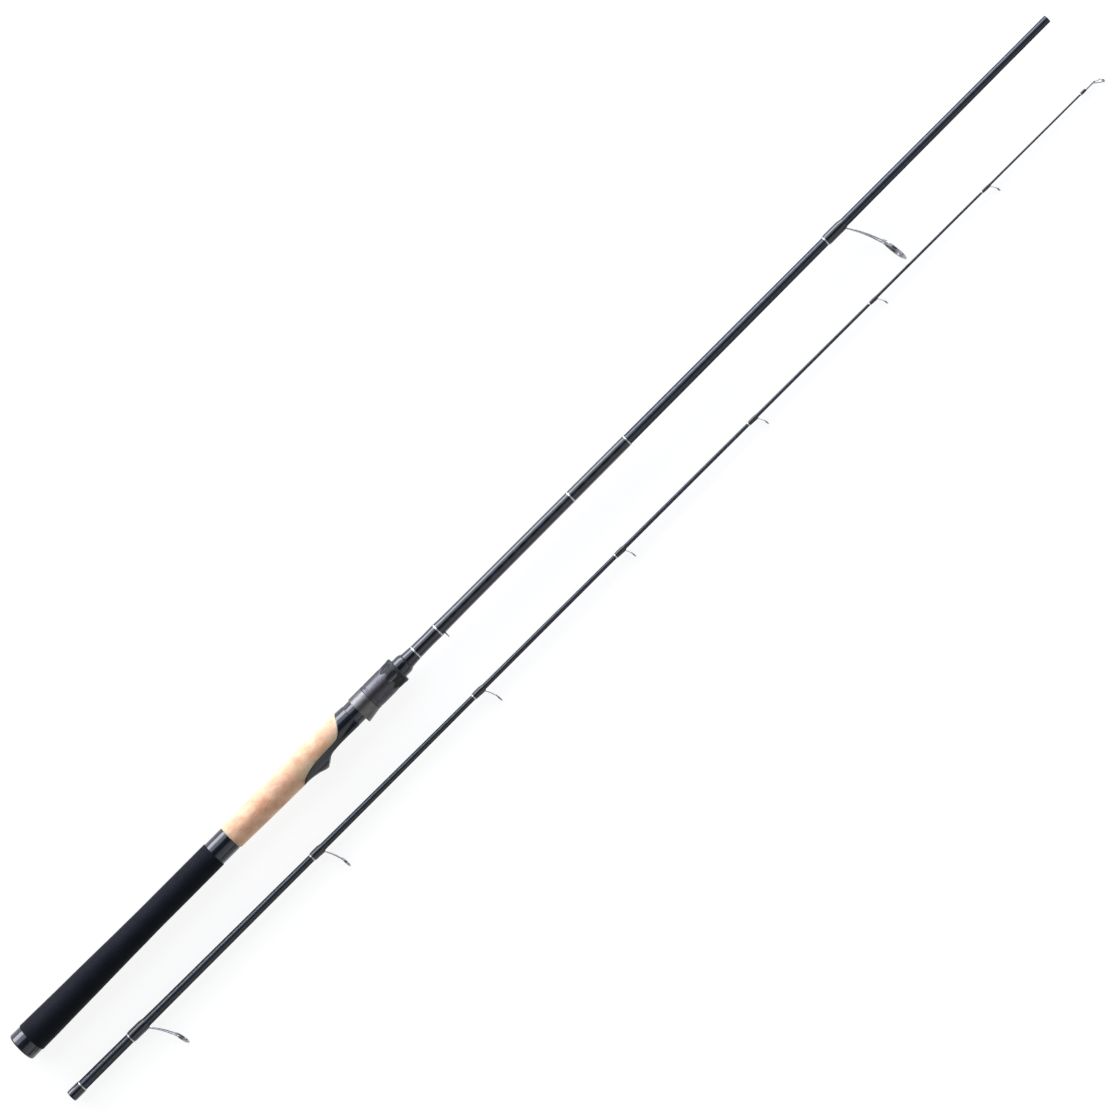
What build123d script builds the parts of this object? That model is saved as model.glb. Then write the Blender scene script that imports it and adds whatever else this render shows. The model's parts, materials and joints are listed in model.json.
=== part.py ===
from build123d import *
from math import sqrt
import os

# Two-piece spinning rod lying on a flat surface: butt section along +X, tip section beside it.
# Origin: centre of the butt cap's end face. +X runs to the tip, guides point to -Y, +Z is up.

# Butt blank: a hollow carbon cone that ends in a plain cylindrical spigot.
SECTION_LENGTH = 1230.0
BLANK_START = 3.0
BLANK_RADIUS_BUTT = 6.70
BLANK_RADIUS_SPIGOT_END = 3.62
SPIGOT_LENGTH = 60.0
SPIGOT_RADIUS = 3.55
SPIGOT_STEP = 2.0
BLANK_WALL = 1.1

# Handle stations along X, from the butt end.
CAP_END = 12.0
REAR_GRIP_END = 231.6
COLLAR_END = 251.6
SEAT_START = 326.5
SHELL_END = 396.4
HOOD_START = 403.9
HOOD_END = 417.8
NUT_START = 417.9
NUT_END = 452.8
SEAT_END = 462.3

# Handle radii.
CAP_RADIUS = 13.75
REAR_GRIP_RADIUS_BACK = 14.2
REAR_GRIP_RADIUS_FRONT = 12.05
COLLAR_RADIUS = 11.5
SEAT_BORE_RADIUS = 7.4
SEAT_TUBE_RADIUS = 9.6
TRACK_START = 396.0
TRACK_END = 413.0
TRACK_RADIUS = 10.4
BARREL_RADIUS = 8.95
HOOD_RADIUS = 12.0
NUT_RADIUS = 12.0
NUT_LIP_RADIUS = 12.3
NUT_BORE_RADIUS = 10.15
SNAP_START = 421.0
SNAP_END = 422.2
SNAP_NECK_RADIUS = 11.1
SNAP_BEAD_RADIUS = 11.3
DECK_DEPTH = 10.0
DECK_RISE = 0.1

# Lock thread, right-handed, and the play that moving pieces run with.
THREAD_PITCH = 3.0
THREAD_CORE_RADIUS = 9.2
THREAD_CREST_RADIUS = 9.9
THREAD_START = 415.0
THREAD_END = 441.5
THREAD_FOOT_WIDTH = 1.7
THREAD_TOP_WIDTH = 1.0
NUT_THREAD_START = 424.5
NUT_THREAD_TURNS = 2.5
RUNNING_GAP = 0.1
FLUTE_COUNT = 8
FLUTE_START = 441.8
FLUTE_END = 446.8
FLUTE_RADIUS = 5.5
FLUTE_OFFSET = 16.5
KEY_WIDTH = 3.0
KEY_TOP = 10.9

# Tip section: its place beside the butt section, its blank and its put-over ferrule.
TIP_OFFSET = 59.2
TIP_YAW_DEG = 0.29
TIP_PITCH_DEG = 0.28
TIP_BASE_HEIGHT = -5.985
TIP_BLANK_LENGTH = 1219.0
SOCKET_RADIUS = 3.58
SOCKET_LENGTH = 60.0

# Wraps: a silver thread band at the butt end of each wrap.
TRIM_WIDTH = 1.4
TRIM_RISE = 0.18
FERRULE_WRAP_END = 12.2
FERRULE_WRAP_RISE = 0.62

# Thread and coat stations on the butt section.
SEAT_TRIM_START = 472.2
KEEPER_TRIM_START = 498.6
KEEPER_X = 502.4
KEEPER_REACH = 11.0
KEEPER_WIRE = 0.55
KEEPER_HALF_WIDTH = 2.3
LABEL_COAT_START = 511.5
LABEL_TRIM_START = 657.8
LABEL_COAT_END = 725.3
LABEL_COAT_RISE = 0.48

# Tip-top: tube over the blank's end, and the last ring's centre in side view.
TIP_TOP_TUBE_START = 1206.9
TIP_TOP_TUBE_END = 1223.0
TIP_TOP_TUBE_RADIUS = 1.15
TIP_TOP_RING = (1228.6, -4.5)
TIP_TOP_RING_RADII = (2.2, 1.8, 1.25)
TIP_TOP_TILT = 12
TIP_TOP_WIRE = 0.38


def turned(outline):
    """Solid of revolution about the X axis from (x, radius) points."""
    return revolve(make_face(Polyline(*outline, close=True)), Axis.X, 360)


def turned_soft(outline, radii):
    """Solid of revolution about the X axis whose outline corners are rounded by radii."""
    return revolve(make_face(FilletPolyline(*outline, radius=radii, close=True)), Axis.X, 360)


def along_x(face, x0, x1):
    """Prism from x0 to x1 of a face drawn as (y, z) on a plane square to the X axis."""
    return extrude(Plane.YZ.offset(x0) * face, x1 - x0)


def slab(face, half_width):
    """Prism of a face drawn in side view (x, y), half_width to each side of the guide plane."""
    return extrude(face, half_width, both=True)


def side_view(points):
    """Polygon face in side view."""
    return make_face(Polyline(*points, close=True))


def rod_along_x(x0, x1, radius, y=0.0):
    """Round bar from x0 to x1 with its axis at height y."""
    return along_x(Pos(y, 0) * Circle(radius), x0, x1)


class Taper:
    """A blank's outside: radius against x, straight between its stations."""

    def __init__(self, *stations):
        self.stations = stations

    def radius(self, x):
        for (xa, ra), (xb, rb) in zip(self.stations, self.stations[1:]):
            if x <= xb:
                return ra + (rb - ra) * (x - xa) / (xb - xa)
        return self.stations[-1][1]

    def line(self, x0, x1):
        """The outline from x0 to x1, with every station between."""
        inner = [(x, r) for x, r in self.stations if x0 < x < x1]
        return [(x0, self.radius(x0))] + inner + [(x1, self.radius(x1))]

    def sleeve(self, outside):
        """A sleeve that hugs the blank, with the given (x, radius) points as its outside."""
        under = self.line(outside[0][0], outside[-1][0])
        return turned(under + outside[::-1])

    def core(self, x0, x1):
        """The solid cone that the taper encloses between two stations."""
        return turned(self.line(x0, x1) + [(x1, 0), (x0, 0)])

    def raised(self, rise):
        """The same taper with every radius larger by rise."""
        return Taper(*[(x, r + rise) for x, r in self.stations])

    def band(self, x, width=TRIM_WIDTH, rise=TRIM_RISE):
        """A narrow metallic thread band starting at x."""
        r = self.radius(x)
        bevel = 0.2 * width
        side = r + 0.5 * rise
        top = r + rise
        return self.sleeve([(x, side), (x + bevel, top), (x + width - bevel, top), (x + width, side)])


BUTT_TAPER = Taper(
    (BLANK_START, BLANK_RADIUS_BUTT),
    (SECTION_LENGTH - SPIGOT_LENGTH - SPIGOT_STEP, BLANK_RADIUS_SPIGOT_END),
    (SECTION_LENGTH - SPIGOT_LENGTH, SPIGOT_RADIUS),
    (SECTION_LENGTH, SPIGOT_RADIUS),
)
TIP_TAPER = Taper(
    (0, 4.80), (70, 4.50), (110, 4.12), (290, 3.32), (480, 2.50), (660, 1.92), (950, 1.25),
    (TIP_BLANK_LENGTH, 0.75),
)
TIP_BORE_END = 900.0
TIP_BORE = [(SOCKET_LENGTH, 3.1), (290, 2.3), (660, 1.0), (TIP_BORE_END, 0.4)]

# The handle's outer envelope over the cork and the reel seat, before hood and deck.
HANDLE_ENVELOPE = [
    (COLLAR_END, 12.0), (277, 12.5), (310, 13.0), (340, 13.3), (358, 13.2), (372, 12.7), (387, 12.1),
    (SHELL_END, 11.6),
]

# Side view of the line where cork meets reel seat: palm side is +Y.
CORK_EDGE = [
    (326.0, -14.2), (329.5, -11.4), (336.0, -8.6), (346.0, -6.4), (358.0, -5.6), (368.0, -5.5), (374.5, -4.5),
    (379.0, -1.4), (383.0, 4.0), (387.0, 11.4), (388.3, 14.5),
]

# Side view of the reel seat's guide side: fixed hood, its open mouth and the reel-foot deck.
HOOD_PEAK = (352.4, -17.2)
HOOD_BAR_RADIUS = 11.0
HOOD_BAR_OFFSET = -6.2
HOOD_WALL = 1.6
POCKET_START = 342.5
DECK_START = 368.0
CLEAR_OF_HANDLE = 20.0


def butt_blank():
    inner_butt = BLANK_RADIUS_BUTT - BLANK_WALL
    inner_end = SPIGOT_RADIUS - BLANK_WALL
    bore = [(SECTION_LENGTH, inner_end), (BLANK_START, inner_butt)]
    return turned(BUTT_TAPER.line(BLANK_START, SECTION_LENGTH) + bore)


def butt_cap():
    """Glossy end cap with a plug that sits in the blank's bore."""
    plug = BLANK_RADIUS_BUTT - BLANK_WALL - 0.4
    outline = [
        (0, 0), (0, 12.9), (1.4, CAP_RADIUS), (10.9, CAP_RADIUS - 0.15), (CAP_END, CAP_RADIUS - 0.45),
        (CAP_END, BUTT_TAPER.radius(CAP_END)), (BLANK_START, BLANK_RADIUS_BUTT), (BLANK_START, plug),
        (18, plug - 0.5), (18, 0),
    ]
    return turned_soft(outline, [0, 1.2, 1.2, 0.5, 0, 0, 0, 0, 1.0, 0])


def rear_grip():
    """Foam sleeve: a long straight taper that turns level towards the collar."""
    x0, x1 = CAP_END, REAR_GRIP_END
    outline = [
        (x0, BUTT_TAPER.radius(x0)), (x0, REAR_GRIP_RADIUS_BACK), (152, REAR_GRIP_RADIUS_FRONT),
        (x1, REAR_GRIP_RADIUS_FRONT + 0.05), (x1, BUTT_TAPER.radius(x1)),
    ]
    return turned_soft(outline, [0, 1.0, 900, 0.6, 0])


def grip_collar():
    x0, x1 = REAR_GRIP_END, COLLAR_END
    outline = [
        (x0, BUTT_TAPER.radius(x0)), (x0, COLLAR_RADIUS - 0.1), (x0 + 2, COLLAR_RADIUS),
        (x1 - 2, COLLAR_RADIUS), (x1, COLLAR_RADIUS - 0.25), (x1, BUTT_TAPER.radius(x1)),
    ]
    return turned_soft(outline, [0, 0.3, 0, 1.5, 0.3, 0])


def seat_zone():
    """Everything on the reel seat's side of the cork edge, in side view."""
    edge = Spline(*CORK_EDGE)
    far = 425.0
    low = -26.0
    corners = [(far, CORK_EDGE[-1][1]), (far, low), (CORK_EDGE[0][0], low)]
    outside = Polyline(CORK_EDGE[-1], *corners, CORK_EDGE[0])
    return slab(make_face([edge] + outside.edges()), CLEAR_OF_HANDLE)


def handle_envelope(inner, x_end):
    """The cork and seat envelope as one sleeve with the given inner (x, radius) points."""
    top = [p for p in HANDLE_ENVELOPE if p[0] <= x_end]
    crown = Spline(*top)
    rest = Polyline(top[-1], *inner[::-1], top[0])
    return revolve(make_face([crown] + rest.edges()), Axis.X, 360)


def cork_grip():
    """Cork sleeve: tight on the blank behind, opened out over the seat's tube in front."""
    x1 = HANDLE_ENVELOPE[-2][0]
    inner = [
        (COLLAR_END, BUTT_TAPER.radius(COLLAR_END)), (SEAT_START, BUTT_TAPER.radius(SEAT_START)),
        (SEAT_START, SEAT_TUBE_RADIUS), (x1, SEAT_TUBE_RADIUS),
    ]
    return handle_envelope(inner, x1) - seat_zone()


def guide_side_outline():
    """Side view that the reel seat's outer shell is kept to: hood, mouth, then the flat deck."""
    heel = (SEAT_START, -13.15)
    front = (DECK_START, -DECK_DEPTH)
    crest = Spline(heel, (336, -13.5), (344.4, -15.1), HOOD_PEAK, tangents=((1, -0.02), (1, -0.2)))
    mouth = Spline(HOOD_PEAK, (355.6, -14.6), (359.6, -11.5), front, tangents=((0.6, 0.8), (1, 0)))
    corners = [(430, -DECK_DEPTH), (430, CLEAR_OF_HANDLE), (SEAT_START, CLEAR_OF_HANDLE)]
    rest = Polyline(front, *corners, heel)
    return slab(make_face([crest, mouth] + rest.edges()), CLEAR_OF_HANDLE)


def fixed_hood():
    """Rounded hood over the heel of the reel foot: a round bar set off to the guide side."""
    return rod_along_x(SEAT_START + 2, DECK_START + 4, HOOD_BAR_RADIUS, HOOD_BAR_OFFSET)


def foot_pocket():
    """Pocket under the fixed hood, a little below the deck and falling towards its closed end."""
    arch = rod_along_x(POCKET_START, DECK_START, HOOD_BAR_RADIUS - HOOD_WALL, HOOD_BAR_OFFSET)
    floor = DECK_RISE - DECK_DEPTH
    roof = [(POCKET_START, -13.0), (352.0, -15.3), (DECK_START, -17.9)]
    wedge = side_view([(POCKET_START, floor)] + roof + [(DECK_START, floor)])
    return arch & slab(wedge, CLEAR_OF_HANDLE)


def lock_thread(core, crest, x_start, turns, foot_width, crest_width):
    """Right-hand helical ridge along X, from radius core to radius crest."""
    path = Helix(THREAD_PITCH, THREAD_PITCH * turns, core, center=(x_start, 0, 0), direction=(1, 0, 0))
    rise = crest - core
    root = -0.15 if rise > 0 else 0.15
    start = path @ 0
    section = Plane(origin=start, x_dir=(start - Vector(x_start, 0, 0)).normalized(), z_dir=path % 0)
    foot, top = foot_width / 2, crest_width / 2
    ridge = make_face(Polyline((root, -foot), (rise, -top), (rise, top), (root, foot), close=True))
    return sweep(section * ridge, path=path, is_frenet=True)


def key_bar(x0, x1, top, width):
    """Bar on the palm side that keys the sliding hood to its track."""
    low = TRACK_RADIUS - 0.6
    return Pos((x0 + x1) / 2, (low + top) / 2, 0) * Box(x1 - x0, top - low, width)


def reel_seat():
    """Seat body: tube, outer shell with fixed hood and deck, hood track with key, thread, barrel."""
    shell = handle_envelope([(SEAT_START, 9.0), (SHELL_END, 9.0)], SHELL_END)
    shell = (shell + fixed_hood()) & guide_side_outline()
    shell = shell & seat_zone()
    tube_radius = SEAT_TUBE_RADIUS - 0.02
    tube = turned(
        [
            (SEAT_START, SEAT_BORE_RADIUS), (SEAT_START, tube_radius), (TRACK_START, tube_radius),
            (TRACK_START, TRACK_RADIUS), (TRACK_END, TRACK_RADIUS), (TRACK_END + 0.8, THREAD_CORE_RADIUS),
            (THREAD_END + 1, THREAD_CORE_RADIUS), (THREAD_END + 1.4, BARREL_RADIUS),
            (SEAT_END - 3.4, BARREL_RADIUS), (SEAT_END - 1.2, 8.4), (SEAT_END, 7.6),
            (SEAT_END, SEAT_BORE_RADIUS),
        ]
    )
    wide = CLEAR_OF_HANDLE
    low = DECK_RISE - DECK_DEPTH
    tube = tube & slab(side_view([(300, low), (470, low), (470, wide), (300, wide)]), wide)
    key = key_bar(SHELL_END, TRACK_END, KEY_TOP, KEY_WIDTH)
    turns = (THREAD_END - THREAD_START) / THREAD_PITCH
    widths = (THREAD_FOOT_WIDTH, THREAD_TOP_WIDTH)
    thread = lock_thread(THREAD_CORE_RADIUS, THREAD_CREST_RADIUS, THREAD_START, turns, *widths)
    bore = rod_along_x(SEAT_START - 5, SEAT_END + 5, SEAT_BORE_RADIUS)
    return (shell + tube + key - foot_pocket() - bore) + thread


def seat_arbor(x0, x1):
    """Bushing that centres the reel seat on the blank."""
    return BUTT_TAPER.sleeve([(x0, SEAT_BORE_RADIUS), (x1, SEAT_BORE_RADIUS)])


def winding_check():
    """Tapered ring that finishes the handle in front of the reel seat."""
    x0 = SEAT_END
    return BUTT_TAPER.sleeve([(x0, 7.45), (x0 + 1.6, 7.25), (x0 + 4.5, 7.0), (SEAT_TRIM_START, 6.65)])


def hood_beak():
    """Flared guide-side lip of the sliding hood, shrinking forward into its round body."""
    lip = Plane.YZ.offset(HOOD_START) * Pos(-3.7, 0) * Circle(10.4)
    root = Plane.YZ.offset(HOOD_END) * Circle(HOOD_RADIUS)
    return loft([lip, root])


def sliding_hood():
    """Hood that slides along the keyed track; its tail snaps into the lock nut."""
    body = rod_along_x(HOOD_START, HOOD_END, HOOD_RADIUS) + hood_beak()
    neck = rod_along_x(HOOD_END, SNAP_START, SNAP_NECK_RADIUS)
    bead = rod_along_x(SNAP_START, SNAP_END, SNAP_BEAD_RADIUS)
    bore = rod_along_x(HOOD_START - 1, SNAP_END + 1, TRACK_RADIUS + RUNNING_GAP)
    keyway = key_bar(HOOD_START - 1, SNAP_END + 1, KEY_TOP + RUNNING_GAP, KEY_WIDTH + 4 * RUNNING_GAP)
    mouth = Plane.YZ.offset(HOOD_START - 0.5) * Pos(-3.8, 0) * Circle(9.3)
    heel = Plane.YZ.offset(HOOD_START + 9.6) * Pos(-2.2, 0) * Circle(8.2)
    return body + neck + bead - bore - keyway - loft([mouth, heel])


def round_ended_bar(x0, x1, radius):
    """Bar along X with a half ball beyond each end."""
    rear = RadiusArc((x0 - radius, 0), (x0, radius), radius)
    front = RadiusArc((x1, radius), (x1 + radius, 0), radius)
    sides = [Line((x0, radius), (x1, radius)), Line((x1 + radius, 0), (x0 - radius, 0))]
    return revolve(make_face([rear, front] + sides), Axis.X, 360)


def lock_nut():
    """Fluted nut: snap groove behind, internal thread, smooth skirt with a rolled lip in front."""
    groove = NUT_RADIUS - 0.35
    neck = SNAP_NECK_RADIUS + RUNNING_GAP
    bead = SNAP_BEAD_RADIUS + RUNNING_GAP
    lip_bore = THREAD_CORE_RADIUS + 0.05
    outline = [
        (NUT_START, neck), (NUT_START, NUT_RADIUS - 0.25), (NUT_START + 0.3, NUT_RADIUS),
        (420.6, NUT_RADIUS), (420.9, groove), (421.7, groove), (422.0, NUT_RADIUS),
        (440, NUT_RADIUS), (446, NUT_LIP_RADIUS), (NUT_END - 0.7, NUT_LIP_RADIUS),
        (NUT_END, NUT_LIP_RADIUS - 0.7), (NUT_END, lip_bore), (NUT_END - 2.8, lip_bore),
        (NUT_END - 3.6, NUT_BORE_RADIUS), (SNAP_END + 0.5, NUT_BORE_RADIUS), (SNAP_END + 0.4, bead),
        (SNAP_START - 0.2, bead), (SNAP_START - 0.3, neck),
    ]
    nut = turned(outline)
    flute = round_ended_bar(FLUTE_START, FLUTE_END, FLUTE_RADIUS)
    for k in range(FLUTE_COUNT):
        nut -= Rot(360 * k / FLUTE_COUNT, 0, 0) * Pos(0, FLUTE_OFFSET, 0) * flute
    # the nut's ridge runs in the middle of the seat's thread grooves
    phase = (NUT_THREAD_START - THREAD_START) / THREAD_PITCH % 1 - 0.5
    tip_radius = THREAD_CORE_RADIUS + 0.15
    widths = (THREAD_FOOT_WIDTH, THREAD_TOP_WIDTH)
    ridge = lock_thread(NUT_BORE_RADIUS, tip_radius, NUT_THREAD_START, NUT_THREAD_TURNS, *widths)
    return nut + Rot(360 * phase, 0, 0) * ridge


def hook_keeper():
    """Wire loop square to the blank, on a foot that both keeper wraps hold down."""
    x, half = KEEPER_X, KEEPER_HALF_WIDTH
    r = BUTT_TAPER.radius(x)
    low = r + 0.1
    top = KEEPER_REACH - KEEPER_WIRE - half
    foot = BUTT_TAPER.sleeve([(x - 9, BUTT_TAPER.radius(x - 9) + 0.3), (x, r + 0.5), (x + 8, r + 0.25)])
    foot = foot & (Pos(x, -r, 0) * Box(30, 4, 3.2) + Pos(x, -r, 0) * Box(3.0, 6, 6.0))
    path = Polyline((x, -low, half), (x, -top, half))
    path += ThreePointArc((x, -top, half), (x, -top - half, 0), (x, -top, -half))
    path += Polyline((x, -top, -half), (x, -low, -half))
    loop = sweep(Plane(origin=(x, -low, half), z_dir=(0, -1, 0)) * Circle(KEEPER_WIRE), path=path)
    return foot + loop


def label_coat():
    """Clear-coated, glossy stretch of the butt section between the keeper and the bare blank."""
    x0, x1 = LABEL_COAT_START, LABEL_COAT_END
    coat = BUTT_TAPER.raised(LABEL_COAT_RISE)
    outside = [(x0, coat.radius(x0) + 0.1), (x0 + 20, coat.radius(x0 + 20)), (x1, coat.radius(x1))]
    return BUTT_TAPER.sleeve(outside)


class Guide:
    """A single-foot guide on the -Y side of a blank: frame, ceramic ring, thread wrap and band."""

    def __init__(self, taper, x_trim, x_leg, x_ring, height, ring_od, tilt, foot, sheet, strut, wrap):
        self.taper = taper
        self.x_trim = x_trim
        self.x_leg = x_leg
        self.x_ring = x_ring
        self.height = height
        self.ring_r = ring_od / 2
        self.tilt = tilt
        self.foot = foot
        self.sheet = sheet
        self.strut = strut
        self.wrap_rise = wrap
        self.rim = max(0.075 * ring_od / 2 + 0.25, 0.45)
        self.insert_r = self.ring_r - self.rim
        self.hole_r = self.insert_r - max(0.12 * ring_od / 2 + 0.35, 0.5)
        self.depth = 0.075 * ring_od + 0.75

    def at_ring(self, solid):
        """Moves a ring made about the X axis to the guide's ring, tilted forward at its far edge."""
        return Pos(self.x_ring, -self.height, 0) * Rot(0, 0, self.tilt) * solid

    def hoop(self, r_in, r_out, depth, corner):
        outline = [(-depth / 2, r_in), (-depth / 2, r_out), (depth / 2, r_out), (depth / 2, r_in)]
        return self.at_ring(turned_soft(outline, corner))

    def insert(self):
        """Ceramic ring, deeper than the frame's rim and rounded inside for the line."""
        bevel = 0.42 * self.depth
        thick = self.insert_r - self.hole_r
        outline = [
            (-self.depth / 2, self.insert_r), (-self.depth / 2, self.insert_r - 0.4 * thick),
            (-self.depth / 2 + bevel, self.hole_r), (self.depth / 2 - bevel, self.hole_r),
            (self.depth / 2, self.insert_r - 0.4 * thick), (self.depth / 2, self.insert_r),
        ]
        return self.at_ring(turned(outline))

    def leg_sheet(self):
        """Curved sheet that rises from the foot to the ring's centre height, in side view."""
        start = Vector(self.x_leg - 0.5, -self.taper.radius(self.x_leg) - 0.45 * self.sheet)
        end = Vector(self.x_ring, -self.height)
        run = end - start
        normal = Vector(run.Y, -run.X) * (-1 / run.length)
        middle = (start + end) * 0.5 + normal * (-0.055 * run.length)
        near = [p + normal * (self.sheet / 2) for p in (start, middle, end)]
        far = [p - normal * (self.sheet / 2) for p in (end, middle, start)]
        edges = [
            ThreePointArc(*near), Line(near[2], far[0]), ThreePointArc(*far), Line(far[2], near[0]),
        ]
        return slab(make_face(edges), self.ring_r + 1)

    def front_outline(self):
        """Front view of the leg: straight sides from the foot, tangent to the ring."""
        r, h, low = self.ring_r, self.height, self.taper.radius(self.x_leg)
        base = self.foot / 2
        lean = (r - base) / (h - low)
        top = r * sqrt(1 - lean * lean)
        return [(-low + 0.3, base), (-h + r * lean, top), (-h, top), (-h, -top), (-h + r * lean, -top),
                (-low + 0.3, -base)]

    def wrap_shoulder(self):
        """Where the wrap starts to taper down towards the leg."""
        return self.x_leg - 0.12 * (self.x_leg - self.x_trim) - 0.6

    def foot_bar(self):
        """The foot before the blank is cut from it: a strip that thins towards its end."""
        low = self.taper.radius(self.x_leg)
        covered = sqrt((low + 0.9 * self.wrap_rise) ** 2 - (self.foot / 2) ** 2)
        start = self.x_trim + TRIM_WIDTH + 0.6
        end = self.x_leg + 0.2 * self.sheet
        tip = self.taper.radius(start) + 0.2 * (covered - low)
        corners = [(start, 0), (start, -tip), (self.wrap_shoulder(), -covered), (end, -covered), (end, 0)]
        return slab(side_view(corners), self.foot / 2)

    def frame(self):
        """Foot, leg and rim as one stamped piece."""
        blank = self.taper.core(self.x_trim, self.x_leg + 4)
        foot = self.foot_bar() - blank
        sides = self.front_outline()
        x0, x1 = self.x_leg - 3, self.x_ring + self.ring_r + 3
        leg = self.leg_sheet() & along_x(side_view(sides), x0, x1)
        if self.strut:
            spread = (sides[1][1] - sides[0][1]) / (sides[0][0] - sides[1][0])
            start = sides[0][0] - 1.1 * self.strut / spread
            wide = sides[2][1] - self.strut
            corners = [(start, 0.3), (-self.height, wide), (-self.height, -wide), (start, -0.3)]
            leg = leg - along_x(side_view(corners), x0, x1)
        leg = leg - blank - self.at_ring(rod_along_x(-9, 9, self.insert_r + 0.3 * self.rim))
        rim = self.hoop(self.insert_r, self.ring_r, 0.62 * self.depth, 0.3 * self.rim)
        return foot + leg + rim

    def wrap(self):
        """Thread wrap over the foot, tapering down and parted where the leg comes out."""
        x0, x1 = self.x_trim + TRIM_WIDTH, self.x_leg + 1.4
        full = self.wrap_shoulder()
        rises = [(x0, 0.72), (x0 + 2.2, 1.0), (full, 1.0), (x1, 0.2)]
        sleeve = self.taper.sleeve([(x, self.taper.radius(x) + k * self.wrap_rise) for x, k in rises])
        reach = self.taper.radius(self.x_leg) + self.wrap_rise + 1
        corners = [(full, 0), (full, -reach), (x1 + 1, -reach), (x1 + 1, 0)]
        slot = slab(side_view(corners), self.foot / 2 + 0.4 * self.wrap_rise)
        return sleeve - self.foot_bar() - slot

    def pieces(self, name):
        return {
            name + "_frame": self.frame(),
            name + "_ring": self.insert(),
            name + "_wrap": self.wrap(),
            name + "_trim": self.taper.band(self.x_trim, rise=min(0.6 * self.wrap_rise, 0.55)),
        }


# Guides: band, leg and ring stations, ring height and diameter, ring tilt in degrees, widths of foot and
# sheet, width of the leg's struts (0 for a leg with no window), and rise of the wrap.
STRIPPER = Guide(BUTT_TAPER, 963.4, 984.6, 1000.2, 45.8, 26.5, 7, 4.4, 1.3, 2.4, 1.2)
TIP_GUIDES = [
    Guide(TIP_TAPER, 70.0, 88.0, 101.6, 30.5, 15.4, 12, 3.6, 1.1, 1.7, 1.15),
    Guide(TIP_TAPER, 286.8, 298.9, 305.2, 22.9, 10.8, 4, 2.8, 0.90, 1.25, 1.1),
    Guide(TIP_TAPER, 479.8, 491.3, 495.4, 15.6, 7.6, 3, 2.2, 0.75, 0, 1.0),
    Guide(TIP_TAPER, 649.3, 659.6, 662.0, 9.8, 5.7, 5, 1.7, 0.60, 0, 0.8),
    Guide(TIP_TAPER, 808.2, 818.2, 821.2, 9.5, 5.3, 5, 1.5, 0.50, 0, 0.65),
    Guide(TIP_TAPER, 953.0, 961.8, 965.0, 8.5, 4.8, 5, 1.3, 0.45, 0, 0.55),
    Guide(TIP_TAPER, 1087.6, 1097.1, 1100.2, 7.9, 4.5, 5, 1.2, 0.40, 0, 0.5),
]


def brace(start, end, radius):
    """Straight round wire between two points of the side view."""
    a, b = Vector(*start, 0), Vector(*end, 0)
    return extrude(Plane(origin=a, z_dir=b - a) * Circle(radius), (b - a).length)


def tip_top():
    """Tip-top guide: tube over the blank's end, two braces and the last ring."""
    x0, x1, r = TIP_TOP_TUBE_START, TIP_TOP_TUBE_END, TIP_TOP_TUBE_RADIUS
    blank = TIP_TAPER.line(x0, TIP_BLANK_LENGTH)
    tube = turned(blank + [(TIP_BLANK_LENGTH, 0), (x1, 0), (x1, 0.8 * r), (x1 - 0.6, r), (x0, r)])
    ring_r, rim_r, hole_r = TIP_TOP_RING_RADII
    x, y = TIP_TOP_RING
    tilt = Pos(x, y, 0) * Rot(0, 0, TIP_TOP_TILT)
    rim = tilt * turned_soft([(-0.5, rim_r), (-0.5, ring_r), (0.5, ring_r), (0.5, rim_r)], 0.12)
    ring = tilt * turned([(-0.6, rim_r), (-0.2, hole_r), (0.2, hole_r), (0.6, rim_r)])
    top = brace((x1 - 0.9, -0.35), (x - 0.35, y + 2.0), TIP_TOP_WIRE)
    low = brace((x1 - 1.5, -0.75), (x + 0.25, y - 1.95), TIP_TOP_WIRE)
    frame = tube + rim + ((top + low) - tilt * rod_along_x(-6, 6, rim_r + 0.1))
    full = r + 0.25
    x2 = x0 + 5.6
    wrap = turned([(x0, r), (x0, r + 0.12), (x0 + 0.8, full), (x2 - 1.2, full), (x2, r + 0.06), (x2, r)])
    trim = TIP_TAPER.sleeve([(x0 - 1.2, TIP_TAPER.radius(x0 - 1.2) + 0.3), (x0, r + 0.05)])
    return {"tip_top_frame": frame, "tip_top_ring": ring, "tip_top_wrap": wrap, "tip_top_trim": trim}


def tip_blank():
    outside = TIP_TAPER.line(0, TIP_BLANK_LENGTH)
    bore = [(TIP_BORE_END, 0)] + TIP_BORE[::-1] + [(SOCKET_LENGTH, SOCKET_RADIUS), (0, SOCKET_RADIUS)]
    return turned(outside + [(TIP_BLANK_LENGTH, 0)] + bore)


def ferrule_wrap():
    """Hoop-strengthening thread wrap at the socket's mouth."""
    rises = [(0, 0.3), (1.6, FERRULE_WRAP_RISE), (FERRULE_WRAP_END, FERRULE_WRAP_RISE)]
    return TIP_TAPER.sleeve([(x, TIP_TAPER.radius(x) + rise) for x, rise in rises])


def raised_band(x, r):
    """Thread band on the handle side of the butt blank, r at its edges."""
    top = r + 0.12
    return BUTT_TAPER.sleeve([(x, r), (x + 0.3, top), (x + TRIM_WIDTH - 0.3, top), (x + TRIM_WIDTH, r)])


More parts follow.
